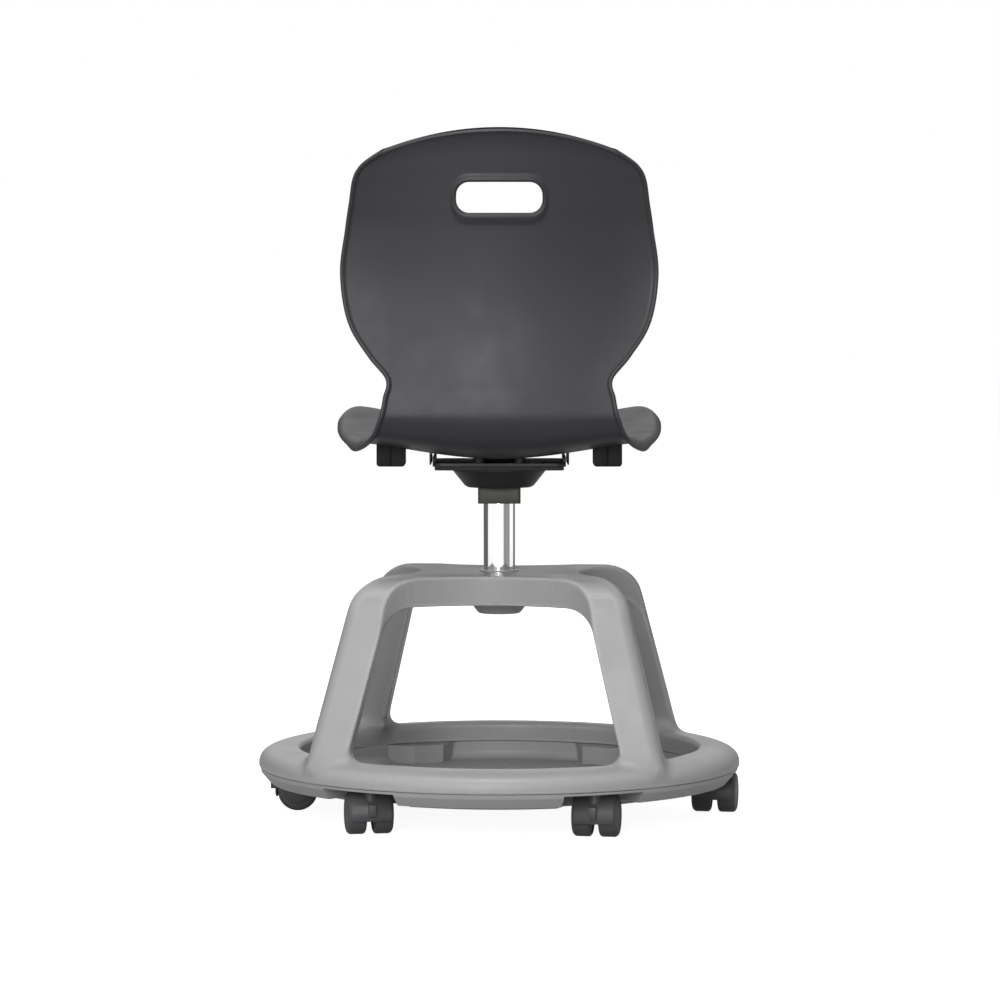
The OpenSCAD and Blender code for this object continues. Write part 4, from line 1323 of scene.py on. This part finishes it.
@dataclass
class ScrewHeads:
    """Screw heads with a socket, set by a geometry node tree on the construction model's screws.

    Attributes:
        radius: Radius of a head.
        height: Its height.
        socket: Radius of its six-sided socket.
        sink: How far it sits in the screw below it.
        inset: Distance of the screws' axes from the sides of the group's box.
        steps: Points round the head.
        seed: Seed of the heads' turns.
    """

    radius: float = 0.0052
    height: float = 0.0035
    socket: float = 0.0021
    sink: float = 0.0002
    inset: float = 0.00525
    steps: int = 36
    seed: int = 4

    def head(self) -> bpy.types.Object:
        """One head, upside down with its socket below.

        Returns:
            The head's object, which the tree repeats.
        """
        r, h, steps = self.radius, self.height, self.steps
        outline = [(r * 0.98, 0.0), (r, -h * 0.2), (r * 0.93, -h * 0.7), (r * 0.78, -h * 0.97), (r * 0.6, -h)]
        pts = [p for radius, z in outline for p in circle(radius, z, steps)]
        for depth in (-h, -h * 0.45):
            for i in range(steps):
                a = CIRCLE * i / steps
                radius = self.socket * math.cos(math.pi / 6) / math.cos(a % (math.pi / 3) - math.pi / 6)
                pts.append((radius * math.cos(a), radius * math.sin(a), depth))
        faces = []
        for a in range(0, len(pts) - steps, steps):
            b = a + steps
            faces += [(a + (i + 1) % steps, a + i, b + i, b + (i + 1) % steps) for i in range(steps)]
        faces += [range(steps), range(len(pts) - 1, len(pts) - steps - 1, -1)]
        return add_mesh("screw_head_pattern", pts, faces)

    def build(self, name: str, places: Sequence[Vector], finish: Finish) -> bpy.types.Object:
        """Sets a head at each place.

        Args:
            name: The piece's name.
            places: Where each head's upper face lies.
            finish: The heads' finish.

        Returns:
            The piece.
        """
        head, obj = self.head(), add_mesh(name, places, [])
        tree = bpy.data.node_groups.new(name, "GeometryNodeTree")
        tree.interface.new_socket("Geometry", in_out="INPUT", socket_type="NodeSocketGeometry")
        tree.interface.new_socket("Geometry", in_out="OUTPUT", socket_type="NodeSocketGeometry")
        values = {}
        for label, kind, value in (("Head", "Object", head), ("Most Turn", "Float", math.pi / 3),
                                   ("Seed", "Int", self.seed), ("Finish", "Material", finish.make())):
            socket = tree.interface.new_socket(label, in_out="INPUT", socket_type=f"NodeSocket{kind}")
            values[socket.identifier] = value
        wires = Wiring(tree)
        start, end, cloud, source, turn, angles, repeat, real, paint = (wires.add(kind) for kind in (
            "NodeGroupInput", "NodeGroupOutput", "GeometryNodeMeshToPoints", "GeometryNodeObjectInfo",
            "FunctionNodeRandomValue", "ShaderNodeCombineXYZ", "GeometryNodeInstanceOnPoints",
            "GeometryNodeRealizeInstances", "GeometryNodeSetMaterial"))
        turn.data_type = "FLOAT"
        most = next(i for i, s in enumerate(turn.inputs) if s.name == "Max" and s.type == "VALUE")
        drawn = next(i for i, s in enumerate(turn.outputs) if s.enabled)
        for a, out, b, into in (
                (start, "Geometry", cloud, "Mesh"), (start, "Head", source, "Object"),
                (start, "Most Turn", turn, most), (start, "Seed", turn, "Seed"),
                (start, "Finish", paint, "Material"), (cloud, 0, repeat, "Points"),
                (source, "Geometry", repeat, "Instance"), (turn, drawn, angles, "Z"),
                (angles, 0, repeat, "Rotation"), (repeat, 0, real, 0), (real, 0, paint, "Geometry"),
                (paint, 0, end, 0)):
            wires.join(a, out, b, into)
        step = obj.modifiers.new("heads", "NODES")
        step.node_group = tree
        for identifier, value in values.items():
            step[identifier] = value
        apply_modifiers(obj)
        bpy.data.objects.remove(head)
        return smooth(obj, 30)

    def dress(self) -> None:
        """Sets the heads of the plate's screws."""
        low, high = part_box("plate_screws")
        xs, ys = (low.x + self.inset, high.x - self.inset), (low.y + self.inset, high.y - self.inset)
        places = [Vector((x, y, low.z + self.height - self.sink)) for x in xs for y in ys]
        finish = Finishes.fastener
        dress(self.build("plate_screw_heads", places, finish), finish, "seat")


# Carried-over pieces


@dataclass
class CarriedPieces:
    """Construction nodes that show and keep their form, with rounded copies where an edge catches the light.

    Attributes:
        rounding: Edge rounding in metres for each node that gets a rounded copy.
    """

    rounding: dict[str, float] = field(default_factory=lambda: {
        "seat_plate": 0.0009, "swivel_cone": 0.0007, "swivel_block": 0.0011, "buffer_left": 0.0012,
        "buffer_right": 0.0012, "hub_sleeve": 0.0003})

    def dress(self) -> None:
        """Finishes every node by its slot and rounds the ones that show."""
        slots = {p["node"]: p["material_slot"] for p in frame["record"]["subparts"]}
        bodies = {n: b for b, nodes in frame["record"]["behaviour"]["bodies"].items() for n in nodes}
        finishes = Finishes.by_slot()
        for node, obj in frame["nodes"].items():
            obj.data.materials.clear()
            obj.data.materials.append(finishes[slots[node]].make())
        for node, width in self.rounding.items():
            dress(remould(f"{node}_rounded", node, width), finishes[slots[node]], bodies[node], node)


# Studio


@dataclass(frozen=True)
class Lamp:
    """A soft square light.

    Attributes:
        name: Its name.
        at: Its place.
        to: The point that it shines at.
        size: Its side in metres.
        power: Its power in watts.
        glare: Whether it shows in reflections.
    """

    name: str
    at: tuple[float, float, float]
    to: tuple[float, float, float]
    size: float
    power: float
    glare: bool = True

    def build(self) -> None:
        """Hangs the lamp."""
        data = bpy.data.lights.new(self.name, "AREA")
        data.size, data.energy = self.size, self.power
        lamp = bpy.data.objects.new(self.name, data)
        lamp.location = self.at
        lamp.visible_glossy = self.glare
        lamp.rotation_euler = (Vector(self.to) - Vector(self.at)).to_track_quat("-Z", "Y").to_euler()
        bpy.context.scene.collection.objects.link(lamp)


@dataclass(frozen=True)
class Card:
    """An upright card that only reflections show, for the bands on the chrome.

    Attributes:
        name: Its name.
        start: One end, X and Y.
        end: The other end.
        grey: How bright it is.
        high: Its height.
    """

    name: str
    start: tuple[float, float]
    end: tuple[float, float]
    grey: float
    high: float = 1.2

    def build(self) -> None:
        """Stands the card on the floor."""
        points = [(*self.start, 0), (*self.end, 0), (*self.end, self.high), (*self.start, self.high)]
        card = add_mesh(self.name, points, [(0, 1, 2, 3)])
        paint = Paint(self.name)
        paint.join(paint.add("ShaderNodeEmission", Strength=self.grey), 0, paint.output, "Surface")
        card.data.materials.append(paint.material)
        for kind in ("camera", "diffuse", "transmission", "volume_scatter", "shadow"):
            setattr(card, f"visible_{kind}", False)


@dataclass
class Studio:
    """Camera, floor, backdrop colour and soft lights, as in the catalogue photograph.

    Attributes:
        distance: The camera's distance behind the chair.
        height: The camera's height.
        focal: Focal length in millimetres on a 36 mm sensor.
        drop: How far the picture is shifted down, as a share of its width.
        side: How far it is shifted sideways.
        world_light: Strength of the light from all round.
        floor_pale: Grey of the floor where it is seen, on which the shadow falls.
        floor_dull: Grey of the floor as it throws light up.
        white: Strength at which the floor is seen as white.
        near_grey: Strength near the chair in reflections, so that the column shows.
        near_span: Distances from the chair at which that starts to fade and is gone.
        floor_half: Half the floor's side.
        lamps: The lights.
        cards: The cards that the chrome mirrors.
    """

    distance: float = 4.5
    height: float = 0.608
    focal: float = 134.93
    drop: float = 0.196
    side: float = 0.0007
    world_light: float = 0.15
    floor_pale: float = 0.5
    floor_dull: float = 0.45
    white: float = 0.93
    near_grey: float = 0.3
    near_span: Range = (2.0, 5.0)
    floor_half: float = 30
    lamps: tuple[Lamp, ...] = (
        Lamp("key_high", (0.5, 4.0, 2.1), (0, 0.1, 0.4), 1.0, 43),
        Lamp("key_low", (0.5, 4.3, 0.8), (0, 0.1, 0.4), 1.4, 58),
        Lamp("left", (2.0, 3.4, 1.8), (0, 0.1, 0.4), 1.2, 19),
        Lamp("top", (0.25, 0.75, 3.4), (0, 0, 0.3), 1.4, 62),
        Lamp("front", (-1.4, -3.6, 1.1), (0, 0, 0.45), 1.4, 60, glare=False))
    cards: tuple[Card, ...] = (
        Card("dark_card", (1.5, 0.0), (1.5, -7.0), 0.12),
        Card("grey_card", (-1.05, 1.75), (-1.95, 0.3), 0.3),
        Card("far_card", (-1.6, -0.9), (-0.7, -3.4), 0.2))

    def build(self) -> None:
        """Sets up camera, world, floor, lights and cards."""
        scene = bpy.context.scene
        data = bpy.data.cameras.new("camera")
        data.lens, data.sensor_width = self.focal, 36
        data.shift_y, data.shift_x = -self.drop, self.side
        data.clip_start, data.clip_end = 0.1, 100
        camera = bpy.data.objects.new("camera", data)
        camera.location = (0, self.distance, self.height)
        camera.rotation_euler = (math.pi / 2, 0, math.pi)
        scene.collection.objects.link(camera)
        scene.camera = camera
        scene.view_settings.view_transform = "Standard"
        self._world(scene)
        self._floor()
        for thing in (*self.lamps, *self.cards):
            thing.build()

    def _world(self, scene: bpy.types.Scene) -> None:
        """White where it is seen, a plain soft grey as light.

        Args:
            scene: The scene.
        """
        scene.world = bpy.data.worlds.new("studio")
        scene.world.use_nodes = True
        wires = Wiring(scene.world.node_tree)
        white = (1, 1, 1, 1)
        lit = wires.add("ShaderNodeBackground", Color=white, Strength=self.world_light)
        seen = wires.add("ShaderNodeBackground", Color=white)
        self._where_seen(wires, wires.add("ShaderNodeOutputWorld"), lit, seen)

    def _floor(self) -> None:
        """A wide floor, white where it is seen, that keeps the object's soft shadow and throws little light up."""
        far = self.floor_half
        floor = add_mesh("floor", [(-far, -far, 0), (far, -far, 0), (far, far, 0), (-far, far, 0)], [(0, 1, 2, 3)])
        paint = Paint("floor_white")
        pale, dull = (paint.add("ShaderNodeBsdfDiffuse", Color=(grey, grey, grey, 1))
                      for grey in (self.floor_pale, self.floor_dull))
        both = paint.add("ShaderNodeAddShader")
        paint.join(pale, 0, both, 0)
        paint.join(self._glow(paint), 0, both, 1)
        self._where_seen(paint, paint.output, dull, both)
        floor.data.materials.append(paint.material)

    @staticmethod
    def _where_seen(wires: Wiring, output: bpy.types.Node, lit: bpy.types.Node, seen: bpy.types.Node) -> None:
        """Shows one shader to the rays that see the background and another to those that light the object.

        Args:
            wires: The node tree.
            output: Its output node.
            lit: The shader that lights the object.
            seen: The shader that is seen.
        """
        mix = wires.add("ShaderNodeMixShader")
        wires.join(wires.seen(), 0, mix, "Fac")
        wires.join(lit, 0, mix, 1)
        wires.join(seen, 0, mix, 2)
        wires.join(mix, 0, output, "Surface")

    def _glow(self, paint: Paint) -> bpy.types.Node:
        """Makes the floor white to the camera, and greyer near the chair in reflections.

        Args:
            paint: The floor's material.

        Returns:
            The emission node.
        """
        away = paint.add("ShaderNodeVectorMath", "LENGTH")
        paint.join(paint.add("ShaderNodeTexCoord"), "Object", away, 0)
        near = paint.ranged(away, "Value", self.near_span, (self.near_grey, self.white))
        seen = paint.add("ShaderNodeMath", "MULTIPLY")
        seen.inputs[1].default_value = self.white
        paint.join(paint.add("ShaderNodeLightPath"), "Is Camera Ray", seen, 0)
        glow = paint.add("ShaderNodeEmission")
        paint.join(paint.paired("MAXIMUM", near, 0, seen, 0), 0, glow, "Strength")
        return glow


def main() -> None:
    """Builds the chair's looks in order."""
    logging.basicConfig(level=logging.INFO, format="%(name)s: %(message)s")
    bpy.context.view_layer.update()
    CarriedPieces().dress()
    SeatShell().dress()
    BaseMoulding().dress()
    for number in range(1, 7):
        Castor(number).dress()
    ScrewHeads().dress()
    Studio().build()


if __name__ == "__main__":
    main()
